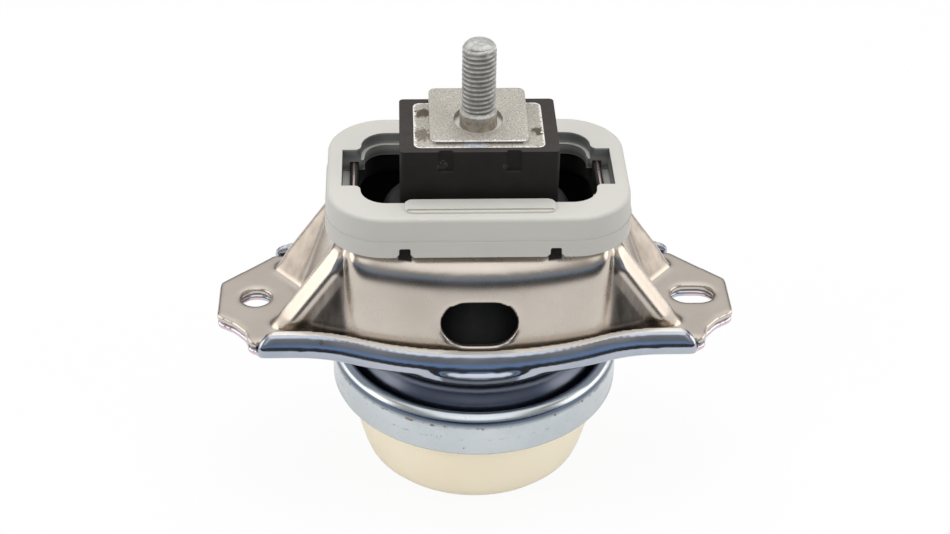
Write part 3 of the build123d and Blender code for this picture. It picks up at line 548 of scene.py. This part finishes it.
def blue_zinc_finish():
    """Lower plate: blue passivated zinc with pinkish cut edges, glossier than the housing."""
    zinc = Finish("blue_zinc")
    cloud = zinc.noise(45, 4)
    blue = zinc.mottled(cloud, (0.39, 0.43, 0.51), (0.51, 0.54, 0.60))
    # Painted shade: the neck below the hem is coloured dark navy and made rougher
    neck = zinc.below(59.0, 60.2)
    blue = zinc.blend(neck, blue, (0.15, 0.165, 0.21))
    up = zinc.facing("Z")
    wing = zinc.rise(zinc.size(zinc.axis("X")), 78.5, 79.5)
    cut_edge = zinc.all_of(wing, zinc.span(zinc.size(up), 0.5, 0.8, 1, 0))
    blue = zinc.blend(cut_edge, blue, (0.66, 0.54, 0.58))
    spots = zinc.any_of(zinc.patch((-62.6, -33.4, 68.5), 1.0, 0.3),
                        zinc.patch((-56.2, -33.4, 68.5), 1.3, 0.3))
    blue = zinc.blend(zinc.both("MULTIPLY", spots, 0.7), blue, (0.33, 0.27, 0.20))

    # Painted shade: under the hem's middle the plate's round disc is coloured dark
    disc = zinc.all_of(zinc.rise(zinc.size(zinc.axis("Y")), 46.0, 46.4),
                       zinc.beside("X", 0, 14, 1), zinc.beside("Z", 61.2, 1.6, 0.3))
    blue = zinc.blend(disc, blue, (0.16, 0.18, 0.21))

    # The hem's brim and the front hem's inner side are pale and less metallic
    brim = zinc.all_of(zinc.above(64.0, 64.5), zinc.span(up, 0.86, 0.98))
    outward = zinc.both("MULTIPLY", zinc.axis("Y"), zinc.facing("Y"))
    behind = zinc.all_of(zinc.above(63.2, 63.6), zinc.fall(outward, -20, -12),
                         zinc.fall(zinc.axis("Y"), -1, 1))
    pale = zinc.any_of(brim, behind)
    blue = zinc.blend(pale, blue, (0.80, 0.75, 0.68))

    # Painted contact shadow: a near-black line along the wings' edge where the upper sheet lies on
    # the plate
    seam_shadow = zinc.all_of(zinc.above(62.3, 62.6), zinc.span(up, 0.7, 0.9, 1, 0), wing)
    zinc.colour(zinc.blend(seam_shadow, blue, (0.01, 0.01, 0.01)))
    zinc.shine(zinc.span(pale, 0, 1, 1, 0.4))
    gloss = zinc.both("ADD", zinc.wandering(70, 5, 0.12, 0.18), zinc.both("MULTIPLY", neck, 0.16))
    matt = zinc.both("MULTIPLY", zinc.any_of(pale, disc), 0.2)
    zinc.rough(zinc.both("ADD", gloss, matt))
    zinc.bump(cloud, 0.2, 0.2)
    return zinc.material


def ring_finish():
    """Crimp ring: pale blue zinc, a painted dark reflection under the bead, rust specks in two
    lines round the band.
    """
    zinc = Finish("pale_zinc").set(Metallic=1.0)
    cloud = zinc.noise(40, 5)
    pale = zinc.mottled(cloud, (0.52, 0.57, 0.60), (0.62, 0.66, 0.68))
    # Painted dark reflection: a navy band just under the bead
    under_bead = zinc.all_of(zinc.above(43.8, 45.8), zinc.below(46.9, 47.3), 0.9)
    pale = zinc.blend(under_bead, pale, (0.09, 0.12, 0.18))
    lines = zinc.any_of(zinc.beside("Z", 44.3, 0.3, 0.5),
                        zinc.all_of(zinc.beside("Z", 39.3, 0.2, 0.4), 0.45))
    specks = zinc.all_of(lines, zinc.span(zinc.noise(420, 4, 0.7), 0.52, 0.62))
    stray = zinc.span(zinc.noise(240, 3, 0.6), 0.71, 0.75)
    zinc.colour(zinc.blend(zinc.any_of(specks, stray), pale, (0.20, 0.13, 0.08)))
    zinc.rough(zinc.wandering(90, 5, 0.20, 0.30))
    zinc.bump(cloud, 0.12, 0.2)
    return zinc.material


def stud_finish():
    """Zinc with matt mottling, painted shade in the thread roots, and a browner shank below the
    thread.
    """
    zinc = Finish("zinc_stud").set(Metallic=0.6)
    cloud = zinc.noise(420, 5, 0.65)
    mottle = zinc.span(cloud, 0.35, 0.65)
    grey = zinc.blend(mottle, (0.33, 0.325, 0.305), (0.63, 0.63, 0.61))
    brown = zinc.blend(mottle, (0.24, 0.21, 0.17), (0.46, 0.42, 0.36))
    # Painted shade: the thread roots are coloured darker
    root = zinc.all_of(zinc.fall(zinc.past_outline(10.9, 10.9, 5.45), -0.2, 0.3),
                       zinc.beside("Z", 155.6, 11.2, 0.5),
                       zinc.span(cloud, NOISE_LOW, NOISE_HIGH, 0.25, 0.65))
    grey = zinc.blend(root, grey, (0.10, 0.095, 0.085))
    shank = zinc.below(143.8, 144.4)
    zinc.colour(zinc.blend(shank, grey, brown))
    zinc.rough(zinc.wandering(500, 5, 0.36, 0.55))
    zinc.bump(zinc.noise(1900, 4), 0.06, 0.7)
    return zinc.material


def cast_finish():
    """Blasted cast aluminium: fine grain, torn bright edges and brown stains on the ledges."""
    cast = Finish("blasted_aluminium").set(Metallic=0.7)
    grain = cast.noise(2100, 3, 0.6)
    light = cast.mottled(cast.noise(60, 4), (0.58, 0.55, 0.495), (0.655, 0.625, 0.57))
    skin = cast.blend(cast.span(grain, 0.40, 0.60), (0.36, 0.335, 0.295), light)
    ledges = cast.below(LEDGE_TOP, LEDGE_TOP + 0.4)
    stains = cast.any_of(cast.patch((-19.2, 8.6, LEDGE_TOP), 3.4, 1.4, 500),
                         cast.patch((20.9, -4.5, LEDGE_TOP), 2.9, 1.0, 500),
                         cast.all_of(cast.patch((-20.4, -6.5, LEDGE_TOP), 4.6, 2.2, 700), 0.7))
    skin = cast.blend(cast.all_of(ledges, stains, 0.9), skin, (0.085, 0.062, 0.038))

    # Torn bright flash along the ledges' outline and along the seat's front edge
    ragged = cast.span(cast.noise(1000, 4, 0.7), NOISE_LOW, NOISE_HIGH, -0.9 * MM, 0.9 * MM)
    rim = cast.past_outline(LEDGE_WIDTH, LEDGE_DEPTH, LEDGE_CORNER)
    torn = cast.all_of(ledges, cast.rise(cast.both("ADD", rim, ragged), -0.65, -0.4),
                       cast.fall(rim, 0.3, 0.6))
    front = cast.all_of(cast.fall(cast.both("ADD", cast.axis("Y"), ragged), -12.8, -12.5),
                        cast.above(LEDGE_TOP + 0.2, LEDGE_TOP + 0.4),
                        cast.span(cast.facing("Z"), 0.2, 0.5))
    skin = cast.blend(cast.any_of(torn, front), skin, (0.88, 0.86, 0.82))

    smear = cast.all_of(ledges, cast.patch((-1.6, -14.6, LEDGE_TOP), 4.4, 1.6, 500),
                        cast.span(grain, 0.35, 0.5))
    skin = cast.blend(smear, skin, (0.62, 0.67, 0.74))
    recess = cast.all_of(cast.below(RECESS_FLOOR + 0.1, RECESS_FLOOR + 0.4),
                         cast.patch((0, 0, RECESS_FLOOR), 11))
    cast.colour(cast.blend(recess, skin, (0.85, 0.83, 0.80)))
    cast.rough(cast.span(grain, NOISE_LOW, NOISE_HIGH, 0.5, 0.62))
    cast.bump(grain, 0.12, 0.8)
    return cast.material


def rubber_finish(name, dark, light, scuffs=()):
    """Moulded rubber, with a painted sheen making it paler on top; a scuff is (middle, radius) and
    shows as pale scratches.
    """
    rubber = Finish(name).set(Specular_IOR_Level=0.3)
    colour = rubber.mottled(rubber.noise(55, 5), dark, light)
    # Painted sheen: faces that look up are coloured paler
    top_sheen = tuple(1.9 * part for part in light)
    colour = rubber.blend(rubber.span(rubber.facing("Z"), 0.6, 0.9), colour, top_sheen)
    for middle, radius in scuffs:
        scratch = rubber.span(rubber.noise(1300, 5, 0.7, distortion=2.5), 0.56, 0.62)
        scuff = rubber.all_of(rubber.patch(middle, radius, 0.3), scratch)
        colour = rubber.blend(scuff, colour, (0.22, 0.22, 0.21))
    rubber.colour(colour)
    rubber.rough(rubber.wandering(200, 5, 0.5, 0.68))
    rubber.bump(rubber.noise(1400, 4), 0.04, 0.5)
    return rubber.material


def collar_finish():
    """Light grey moulded plastic with painted bluish shade down in the window and notches, paler at
    its lips.
    """
    plastic = Finish("grey_plastic").set(IOR=1.46)
    tint = plastic.mottled(plastic.noise(28, 5), (0.475, 0.462, 0.430), (0.500, 0.488, 0.455))
    # Painted shade: walls and floors down in the window and the side notches are coloured dark
    # bluish grey, less so at the lips
    window = plastic.all_of(plastic.beside("X", 0, 44, 0.5), plastic.beside("Y", 0, 24.3, 0.3))
    notch = plastic.all_of(plastic.beside("X", 0, NOTCH_WIDTH / 2 + 0.2, 0.3),
                           plastic.beside("Y", 0, NOTCH_DEPTH / 2 + 0.3, 0.2))
    level = plastic.span(plastic.size(plastic.facing("Z")), 0.5, 0.9, 0.75, 0.25)
    lips = plastic.any_of(plastic.beside("Z", 116.2, 0.7, 1.5),
                          plastic.beside("Z", 113.0, 0.15, 0.1))
    window_shade = plastic.all_of(plastic.any_of(window, notch),
                          plastic.below(COLLAR_TOP - 0.8, COLLAR_TOP - 0.1),
                          level, plastic.span(lips, 0, 1, 1, 0.45))
    tint = plastic.blend(window_shade, tint, (0.12, 0.140, 0.145))
    specks = plastic.span(plastic.noise(170, 4, 0.6), 0.74, 0.77)
    plastic.colour(plastic.blend(specks, tint, (0.20, 0.18, 0.16)))
    plastic.rough(plastic.wandering(160, 5, 0.42, 0.54))
    plastic.bump(plastic.noise(900, 4), 0.03, 0.5)
    return plastic.material


def bowl_finish():
    """Cream moulded plastic, a little translucent."""
    plastic = Finish("cream_plastic")
    plastic.set(IOR=1.5, Subsurface_Weight=0.08, Subsurface_Radius=(0.004, 0.003, 0.002))
    plastic.colour(plastic.mottled(plastic.noise(20, 4), (0.92, 0.81, 0.61), (0.95, 0.86, 0.67)))
    plastic.rough(plastic.wandering(120, 5, 0.38, 0.5))
    plastic.bump(plastic.noise(700, 4), 0.03, 0.4)
    return plastic.material


def plain_metal(name, low, high, roughness):
    metal = Finish(name).set(Metallic=1.0)
    metal.colour(metal.mottled(metal.noise(80, 5), low, high))
    metal.rough(metal.wandering(120, 5, roughness - 0.06, roughness + 0.06))
    metal.bump(metal.noise(900, 3), 0.03, 0.5)
    return metal.material


housing_steel = housing_finish()
blue_zinc = blue_zinc_finish()
ring_zinc = ring_finish()
stud_zinc = stud_finish()
cast_aluminium = cast_finish()
block_scuffs = [((x, -BLOCK_DEPTH / 2, z), radius)
                for x, z, radius in ((-12.9, 132.6, 2.4), (9.4, 132.4, 1.6), (12.2, 131.6, 1.3))]
block_rubber = rubber_finish("block_rubber", (0.009, 0.0078, 0.0072), (0.016, 0.0138, 0.0128),
                             block_scuffs)
inner_rubber = rubber_finish("inner_rubber", (0.008, 0.008, 0.0085), (0.014, 0.014, 0.015))
grey_plastic = collar_finish()
cream_plastic = bowl_finish()
bare_steel = plain_metal("bare_steel", (0.34, 0.34, 0.34), (0.44, 0.44, 0.44), 0.4)
die_cast = plain_metal("die_cast", (0.52, 0.52, 0.52), (0.62, 0.62, 0.62), 0.45)


# Pieces


def build_stud():
    """M12 stud: rolled thread wound round its root, cut to a chamfered blank."""
    root_radius = 5.05
    crest_radius = 6.0
    sunk = 0.4
    pitch = 1.75
    turns = 17
    steps_a_turn = 48
    foot_share = 0.98
    crest_share = 0.16
    thread_low = 145.2
    thread_high = 171.4
    blank_radius = crest_radius - 0.03
    blank_outline = [(blank_radius, thread_low), (blank_radius, 168.7), (5.8, 169.3),
                     (5.3, 170.1), (4.6, 170.8), (3.9, 171.2), (3.3, thread_high)]
    shank_outline = [(6.2, 122), (6.2, 137), (6.6, 138.9), (6.6, 144.0), (6.55, 144.35),
                     (6.05, 144.8), (5.3, 145.4)]

    bpy.ops.mesh.primitive_plane_add(size=1, rotation=(math.radians(90), 0, 0))
    ridge = bpy.context.object
    ridge.name = "stud"
    ridge.scale = ((crest_radius - root_radius + sunk) * MM, pitch * foot_share * MM, 1)
    ridge.location = ((crest_radius + root_radius - sunk) / 2 * MM, 0, (thread_low - pitch) * MM)
    settle(ridge)
    points_where(ridge, lambda point: point.x > crest_radius - 0.1)
    bpy.ops.transform.resize(value=(1, 1, crest_share))
    bpy.ops.mesh.select_all(action="SELECT")
    bpy.ops.mesh.delete(type="ONLY_FACE")
    bpy.ops.object.mode_set(mode="OBJECT")

    wind = ridge.modifiers.new("wind", "SCREW")
    wind.axis = "Z"
    wind.screw_offset = pitch * MM
    wind.iterations = turns
    wind.steps = steps_a_turn
    wind.render_steps = steps_a_turn
    wind.use_merge_vertices = False
    bpy.ops.object.modifier_apply(modifier=wind.name)
    edit(ridge, "EDGE")
    bpy.ops.mesh.select_non_manifold()
    bpy.ops.mesh.fill_holes(sides=4)
    face_outward(ridge)

    weld(ridge, drum("root_rod", root_radius, thread_low - 4, thread_high, sides=steps_a_turn))
    combine(ridge, turned("blank", blank_outline, sides=96), "INTERSECT")
    weld(ridge, turned("shank", shank_outline, sides=96))
    take(ridge)
    bpy.ops.object.shade_smooth_by_angle(angle=math.radians(28))
    return finished(ridge, stud_zinc, "zinc_steel", "stud")


def build_core():
    """Blasted seat with its recess, and the two flush ledges with their torn edges."""
    seat = block("core", (SEAT_WIDTH, SEAT_DEPTH, 14), (0, SEAT_MIDDLE_Y, 135.8), SEAT_CORNER, 5)
    slice_across(seat, SEAT_HEIGHT, SEAT_SLOPE, use_fill=True, clear_outer=True)
    cut(seat, block("shadow_gap", (30, 2.4, 0.9), (0, -13.2, 138.8)))
    cut(seat, drum("recess", 8.65, RECESS_FLOOR, 150))
    height = 7
    ledges = block("ledges", (LEDGE_WIDTH, LEDGE_DEPTH, height), (0, 0, LEDGE_TOP - height / 2),
                   LEDGE_CORNER, 5)
    weld(seat, ledges, drum("foot", 16, 95, 134))
    soften(seat, 0.45, 3)
    return finished(seat, cast_aluminium, "cast_aluminium", "core")


def build_buffer():
    """Rubber block with its top at the ledges' height, beds for the core and two notches."""
    height = 31.4
    bed_depth = 8
    bed_z = 134.9
    buffer = block("stop_buffer", (BLOCK_WIDTH, BLOCK_DEPTH, height),
                   (0, 0, LEDGE_TOP - height / 2), 1.6, 4)
    notch = block("notch", (5.2, 2.6, 16.4), (11.8, -BLOCK_DEPTH / 2, LEDGE_TOP), 1.0, 3)
    cut(buffer, twin(notch), notch)
    cut(buffer, block("ledge_bed", (LEDGE_WIDTH, LEDGE_DEPTH, bed_depth), (0, 0, bed_z),
                      LEDGE_CORNER, 5))
    cut(buffer, block("seat_bed", (SEAT_WIDTH, bed_depth, bed_depth), (0, BLOCK_DEPTH / 2, bed_z)))
    soften(buffer, 0.5, 3)
    return finished(buffer, block_rubber, "block_rubber", "stop_buffer")


def stepped_window(name, width, depth, corner, low_z, high_z):
    """Cutter for the collar's window: rounded opening with a square notch at each side."""
    middle = (0, 0, (low_z + high_z) / 2)
    window = block(name, (width, depth, high_z - low_z), middle, corner)
    notch_size = (NOTCH_WIDTH, NOTCH_DEPTH, high_z - COLLAR_STEP)
    weld(window, block("side_notches", notch_size, (0, 0, (COLLAR_STEP + high_z) / 2)))
    inner_x, inner_y = width / 2, NOTCH_DEPTH / 2
    round_edges(window, 2.6, 5, lambda start, end: upright_corner(start, end)
                and abs(abs(start.x) - inner_x) < 0.2 and abs(abs(start.y) - inner_y) < 0.2)
    return window


def build_collar():
    """Moulded collar: drawn-in rim, window, groove for the housing's neck, bar and clip notches."""
    collar = block("limiter_collar", (COLLAR_WIDTH, COLLAR_DEPTH, COLLAR_TOP - COLLAR_BOTTOM),
                   (0, 0, (COLLAR_TOP + COLLAR_BOTTOM) / 2), COLLAR_CORNER, 20)
    slice_across(collar, COLLAR_STEP)
    faces_where(collar, lambda middle, normal: middle.z < COLLAR_STEP and abs(normal.z) < 0.1)
    bpy.ops.mesh.extrude_region_shrink_fatten(TRANSFORM_OT_shrink_fatten={"value": 0.35 * MM})
    bpy.ops.object.mode_set(mode="OBJECT")
    near_top = COLLAR_TOP - 0.3
    draw_in(collar, (0.9913, 0.9868, 1), lambda point: point.z > near_top)
    round_edges(collar, 1.5, 5, lambda start, end: min(start.z, end.z) > near_top)

    cut(collar, stepped_window("window", 83, 48.2, 9, 117, 123),
        stepped_window("lip_window", 80.6, 45.8, 7.8, 105, 118))
    neck_width, neck_depth, neck_corner = 91.3, 57.3, 16.1
    cut(collar, block("skirt_bed", (neck_width, neck_depth, 9.1), (0, 0, 108.35), neck_corner, 10))
    groove = block("neck_groove", (neck_width, neck_depth, 5), (0, 0, 113.65), neck_corner, 10)
    groove_width = 3.3
    cut(groove, block("groove_core",
                      (neck_width - 2 * groove_width, neck_depth - 2 * groove_width, 8),
                      (0, 0, 113.65), 12.9, 10))
    cut(collar, groove)

    bar = block("bar", (52.6, 8.6, 5.2), (0, -26.9, 119.6), 3, 6)
    round_edges(bar, 0.7, 3, lambda start, end: min(start.z, end.z) > 122)
    weld(collar, bar)
    cut(collar, block("bar_groove", (50.8, 1.0, 1.2), (0, -29.9, 122.2), 0.45, 3))

    slit = block("clip_notch", (4.0, 80, 3.8), (CLIP_OFFSET, 0, 107.9))
    round_edges(slit, 0.7, 3, lambda start, end: abs(start.y - end.y) > 10 and start.z > 109)
    mouth = block("clip_mouth", (8.8, 80, 2.4), (CLIP_OFFSET, 0, 106.2))
    draw_in(mouth, (0.46, 1, 1), lambda point: point.z > 107, (CLIP_OFFSET, 0, 0))
    cut(collar, twin(slit), twin(mouth), slit, mouth)
    soften(collar, 0.3, 2)
    return finished(collar, grey_plastic, "collar_plastic", "limiter_collar")


def build_ring():
    """Rolled ring: bead over the plate's rim, plain band and turned-in foot."""
    outline = [(49.0, 32.1), (51.6, 32.1), (52.7, 32.5), (53.1, 33.5), (53.1, 40), (53.1, 46.0),
               (52.75, 47.4), (51.9, 48.6), (50.7, 49.3), (49.7, 49.3), (48.95, 48.7),
               (48.6, 47.6), (48.6, 45.2), (50.9, 45.2), (50.9, 34.3), (49.0, 34.3), (49.0, 32.1)]
    ring = turned("crimp_ring", outline, sides=192, closed=True)
    soften(ring, 0.25, 2, angle=50)
    return finished(ring, ring_zinc, "ring_steel", "crimp_ring")


def build_bowl():
    """Moulded bowl: flat base, rounded foot, tapered wall and a flange inside the ring."""
    outline = [(2.0, 0), (32.4, 0), (36.0, 0.4), (38.8, 1.7), (40.9, 3.9), (41.9, 6.5), (42.5, 8.6),
               (46.0, 22), (48.7, 34.3), (50.7, 34.3), (50.7, 36.0), (46.7, 36.0), (39.4, 7),
               (37.0, 3.2), (33.0, 2.2), (2.0, 2.2), (2.0, 0)]
    bowl = turned("bowl", outline, sides=192, closed=True)
    take(bowl)
    bpy.ops.object.shade_smooth_by_angle(angle=math.radians(40))
    return finished(bowl, cream_plastic, "bowl_plastic", "bowl")


def ramp(value, low, high):
    """0 up to low and 1 from high on, even in between."""
    return max(0, min(1, (value - low) / (high - low)))


def build_housing():
    """Pressed housing: soft shoulder and ribs, crisper round the wings and windows.

    Each inner function says, for a place in mm, how far a change of the skin reaches there.
    """
    housing = pressed_copy("upper_housing_skin", "upper_housing", grain=0.76, passes=10)
    wall_y = 25
    window_z = 79.5
    crest_y = 19.4
    shoulder_top = 105.9
    built_radius = 7
    wider = SHOULDER_RADIUS - built_radius

    def soft(place, normal):
        by_window = max(ramp(abs(place.x), 14, 18), ramp(abs(place.z - window_z), 11, 14))
        if abs(place.y) < wall_y:
            by_window = 1
        return ramp(place.z, 67, 70) * (1 - ramp(place.z, 108, 112)) * by_window

    def shoulder(place, normal):
        """From the built shoulder in to a rounder one with the same top."""
        start = shoulder_top - SHOULDER_RADIUS
        on_wall = abs(place.y) >= wall_y and place.y * normal.y >= 0
        if not on_wall or place.z < start or place.z > 106:
            return 0
        if place.z < shoulder_top - built_radius:
            inward = SHOULDER_RADIUS - math.sqrt(SHOULDER_RADIUS ** 2 - (place.z - start) ** 2)
        else:
            lean = wider * (math.hypot(normal.x, normal.y) + max(normal.z, 0))
            reach = math.sqrt(lean ** 2 - 2 * wider ** 2 + SHOULDER_RADIUS ** 2)
            inward = lean + built_radius - reach
        return inward / SHOULDER_DEPTH * (1 - ramp(abs(place.x), 40, 46))

    def crest(place, normal):
        """Along the top of each rib."""
        along = min(ramp(abs(place.x), 46, 49), ramp(place.z, 68, 72), 1 - ramp(place.z, 100, 104))
        arch = max(0, 1 - ((abs(place.y) - crest_y) / 3.4) ** 2)
        return along * arch * ramp(normal.z, 0.1, 0.5)

    def brow(place, normal):
        """On each rib's outer flank, just below its crest."""
        past_rib = RIB_TOP_X + (RIB_TOP_Z - place.z) * RIB_SLOPE - abs(place.x)
        outward = place.y * normal.y / abs(place.y or 1)
        up = min(ramp(place.z, 67, 71), 1 - ramp(place.z, 98, 102))
        flank = min(ramp(outward, 0.15, 0.5), ramp(abs(place.y), 19, 20.5))
        bulge = min(ramp(past_rib, -0.5, 3), 1 - ramp(past_rib, 4, 9),
                    ramp(abs(place.x), 47.5, 50.5))
        return min(flank, up) * bulge

    def ridge(place, normal):
        """On and beside each rib's crest."""
        across = min(ramp(abs(place.y), 11, 14), 1 - ramp(abs(place.y), 26, 29))
        up = min(ramp(place.z, 67, 70), 1 - ramp(place.z, 104, 108))
        return min(across, ramp(abs(place.x), 44, 48), up)

    swell(housing, -SHOULDER_DEPTH, shoulder)
    swell(housing, 1.0, crest)
    relax(housing, 51, soft)
    swell(housing, 2.6, brow)
    relax(housing, 14, ridge)
    bpy.ops.object.shade_smooth()
    return finished(housing, housing_steel, "housing_steel", "upper_housing")


def build_plate():
    """Lower plate: hems with a slightly round face, stepped neck below."""
    plate = pressed_copy("lower_plate_skin", "lower_plate", grain=0.7, passes=5)
    hem_middle = 64.6
    hem_half = 5.8

    def hem_face(place, normal):
        outward = -normal.y if place.y < 0 else normal.y
        if place.z < 59 or outward < 0.4 or abs(place.y) < 26:
            return 0
        return 1 - abs((place.z - hem_middle) / hem_half) ** 1.5

    swell(plate, 1.15, hem_face)
    relax(plate, 16, lambda place, normal: 1 - ramp(place.z, 68, 69.5))
    bpy.ops.object.shade_smooth()
    return finished(plate, blue_zinc, "blue_zinc_steel", "lower_plate")


build_stud()
build_core()
build_buffer()
build_collar()
build_ring()
build_bowl()
build_housing()
build_plate()

node_finishes = {
    "rebound_stop": inner_rubber,
    "main_spring": inner_rubber,
    "spring_sleeve": bare_steel,
    "flange_gasket": inner_rubber,
    "channel_upper": die_cast,
    "channel_lower": die_cast,
    "decoupler_membrane": inner_rubber,
    "diaphragm": inner_rubber,
    "diaphragm_ring": bare_steel,
}
for name, finish in node_finishes.items():
    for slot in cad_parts[name].material_slots:
        slot.material = finish


# Studio


def studio_floor():
    """White floor, from a little before the mount to far behind it; it keeps a faint shadow."""
    width, depth, middle_y = 2.4, 1.65, 0.625
    glow_to_camera = 0.93
    glow_to_metal = 0.65
    bpy.ops.mesh.primitive_plane_add(size=1, location=(0, middle_y, 0))
    floor = bpy.context.object
    floor.name = "studio_floor"
    floor.scale = (width, depth, 1)
    white = bpy.data.materials.new("studio_white")
    white.use_nodes = True
    wiring = Wiring(white.node_tree)
    nodes, links = wiring.nodes, wiring.links
    shader = nodes["Principled BSDF"]
    shader.inputs["Base Color"].default_value = (0.72, 0.72, 0.72, 1)
    shader.inputs["Roughness"].default_value = 0.9
    glow = nodes.new("ShaderNodeEmission")
    glow.inputs["Color"].default_value = (1, 1, 1, 1)
    glow.inputs["Strength"].default_value = 1.0
    path = nodes.new("ShaderNodeLightPath").outputs
    share = wiring.both("ADD", wiring.both("MULTIPLY", path["Is Camera Ray"], glow_to_camera),
                        wiring.both("MULTIPLY", path["Is Glossy Ray"], glow_to_metal))
    mix = nodes.new("ShaderNodeMixShader")
    links.new(share, mix.inputs["Fac"])
    links.new(shader.outputs["BSDF"], mix.inputs[1])
    links.new(glow.outputs["Emission"], mix.inputs[2])
    links.new(mix.outputs["Shader"], nodes["Material Output"].inputs["Surface"])
    floor.data.materials.append(white)


# What polished metal mirrors: (height of the direction, level), from straight down to straight up
FRONT_BANDS = [(-1, 0.5), (-0.42, 0.5), (-0.34, 0.05), (0.02, 0.04), (0.07, 0.42), (0.15, 0.42),
               (0.21, 0.2), (0.36, 0.28), (0.48, 1.2), (0.75, 1.4), (1, 1.2)]
BACK_BANDS = [(-1, 0.5), (-0.42, 0.3), (-0.32, 0.05), (0.16, 0.10), (0.40, 0.62), (0.60, 0.85),
              (0.85, 1.1), (1, 1.2)]
BLUISH_HEIGHTS = (0.07, 0.15)
BLUISH, PLAIN = (0.6, 0.9, 1.4), (1, 1, 1)


def banded(room, height, bands):
    """The colour of the room at each height of the direction."""
    node = room.nodes.new("ShaderNodeValToRGB")
    stops = node.color_ramp.elements
    for stop, (where, level) in zip(stops, (bands[0], bands[-1])):
        stop.position = (where + 1) / 2
        stop.color = (level, level, level, 1)
    for where, level in bands[1:-1]:
        tint = BLUISH if where in BLUISH_HEIGHTS else PLAIN
        stops.new((where + 1) / 2).color = (*(level * part for part in tint), 1)
    room.links.new(room.span(height, -1, 1), node.inputs["Fac"])
    return node.outputs["Color"]


def studio_world():
    """Room with a dark band round the horizon and tall bright panels left and right.

    Metal mirrors the room, everything else gets plain light, and the camera sees white.
    """
    world = bpy.data.worlds.new("studio_room")
    scene.world = world
    world.use_nodes = True
    room = Wiring(world.node_tree)
    parts = room.nodes.new("ShaderNodeSeparateXYZ")
    place = room.nodes.new("ShaderNodeTexCoord").outputs["Generated"]
    room.links.new(place, parts.inputs["Vector"])
    across = room.size(parts.outputs["X"])
    y, height = parts.outputs["Y"], parts.outputs["Z"]

    front = room.span(y, -0.12, 0.12, 1, 0)
    seen = room.blend(front, banded(room, height, BACK_BANDS), banded(room, height, FRONT_BANDS))
    aside = room.all_of(room.span(across, 0.38, 0.55), room.span(height, 0.2, 0.3), front,
                        room.span(height, 0.8, 0.95, 1, 0))
    seen = room.blend(aside, seen, (0.40, 0.37, 0.34))
    panel = room.all_of(room.span(across, 0.70, 0.86), room.span(height, -0.08, 0.02),
                        room.span(height, 0.45, 0.6, 1, 0), room.span(y, 0.5, 0.72, 1, 0),
                        room.span(y, -0.44, -0.32))
    seen = room.blend(panel, seen, (2.2, 2.12, 2.02))

    path = room.nodes.new("ShaderNodeLightPath").outputs
    mirrored = room.any_of(path["Is Glossy Ray"], path["Is Transmission Ray"])
    light = room.blend(mirrored, (0.62, 0.62, 0.62), seen)
    light = room.blend(path["Is Camera Ray"], light, (1, 1, 1))
    background = room.nodes["Background"]
    room.links.new(light, background.inputs["Color"])
    background.inputs["Strength"].default_value = 1.0


def softbox(name, place, size, power):
    """Soft lamp that shines at the middle of the mount and isn't mirrored in it."""
    aim = Vector((0, 0, 0.08))
    bpy.ops.object.light_add(type="AREA", location=place)
    lamp = bpy.context.object
    lamp.name = name
    lamp.data.shape = "RECTANGLE"
    lamp.data.size, lamp.data.size_y = size
    lamp.data.energy = power
    lamp.visible_glossy = False
    lamp.rotation_euler = (aim - Vector(place)).to_track_quat("-Z", "Y").to_euler()


def photo_camera():
    """Camera at the photo's place; the numbers come from a fit of the object's outlines."""
    elevation = math.radians(33.923)
    turn = math.radians(-2.725)
    roll = math.radians(1.042)
    distance = 758.055 * MM
    focal_px = 2060.444
    photo_width_px = 950
    sensor_width = 36
    target = Vector((-0.213, 0, 78.174)) * MM
    level = math.cos(elevation)
    back = Vector((math.sin(turn) * level, -math.cos(turn) * level, math.sin(elevation)))
    right = Vector((math.cos(turn), math.sin(turn), 0))
    up = back.cross(right)
    rolled_right = math.cos(roll) * right + math.sin(roll) * up
    rolled_up = -math.sin(roll) * right + math.cos(roll) * up
    bpy.ops.object.camera_add()
    camera = bpy.context.object
    camera.name = "photo_camera"
    stand = camera.matrix_world.copy()
    for column, axis in enumerate((rolled_right, rolled_up, back, target + back * distance)):
        for row in range(3):
            stand[row][column] = axis[row]
    camera.matrix_world = stand
    camera.data.sensor_width = sensor_width
    camera.data.lens = focal_px * sensor_width / photo_width_px
    camera.data.clip_start = 0.01
    scene.camera = camera


studio_floor()
studio_world()
softbox("top_softbox", place=(0, 0.25, 1.1), size=(1.2, 0.9), power=9)
softbox("left_softbox", place=(-0.9, -0.5, 0.7), size=(0.5, 0.7), power=4)
softbox("right_softbox", place=(0.9, -0.4, 0.6), size=(0.5, 0.7), power=3)
photo_camera()
scene.view_settings.view_transform = "Standard"

deselect()
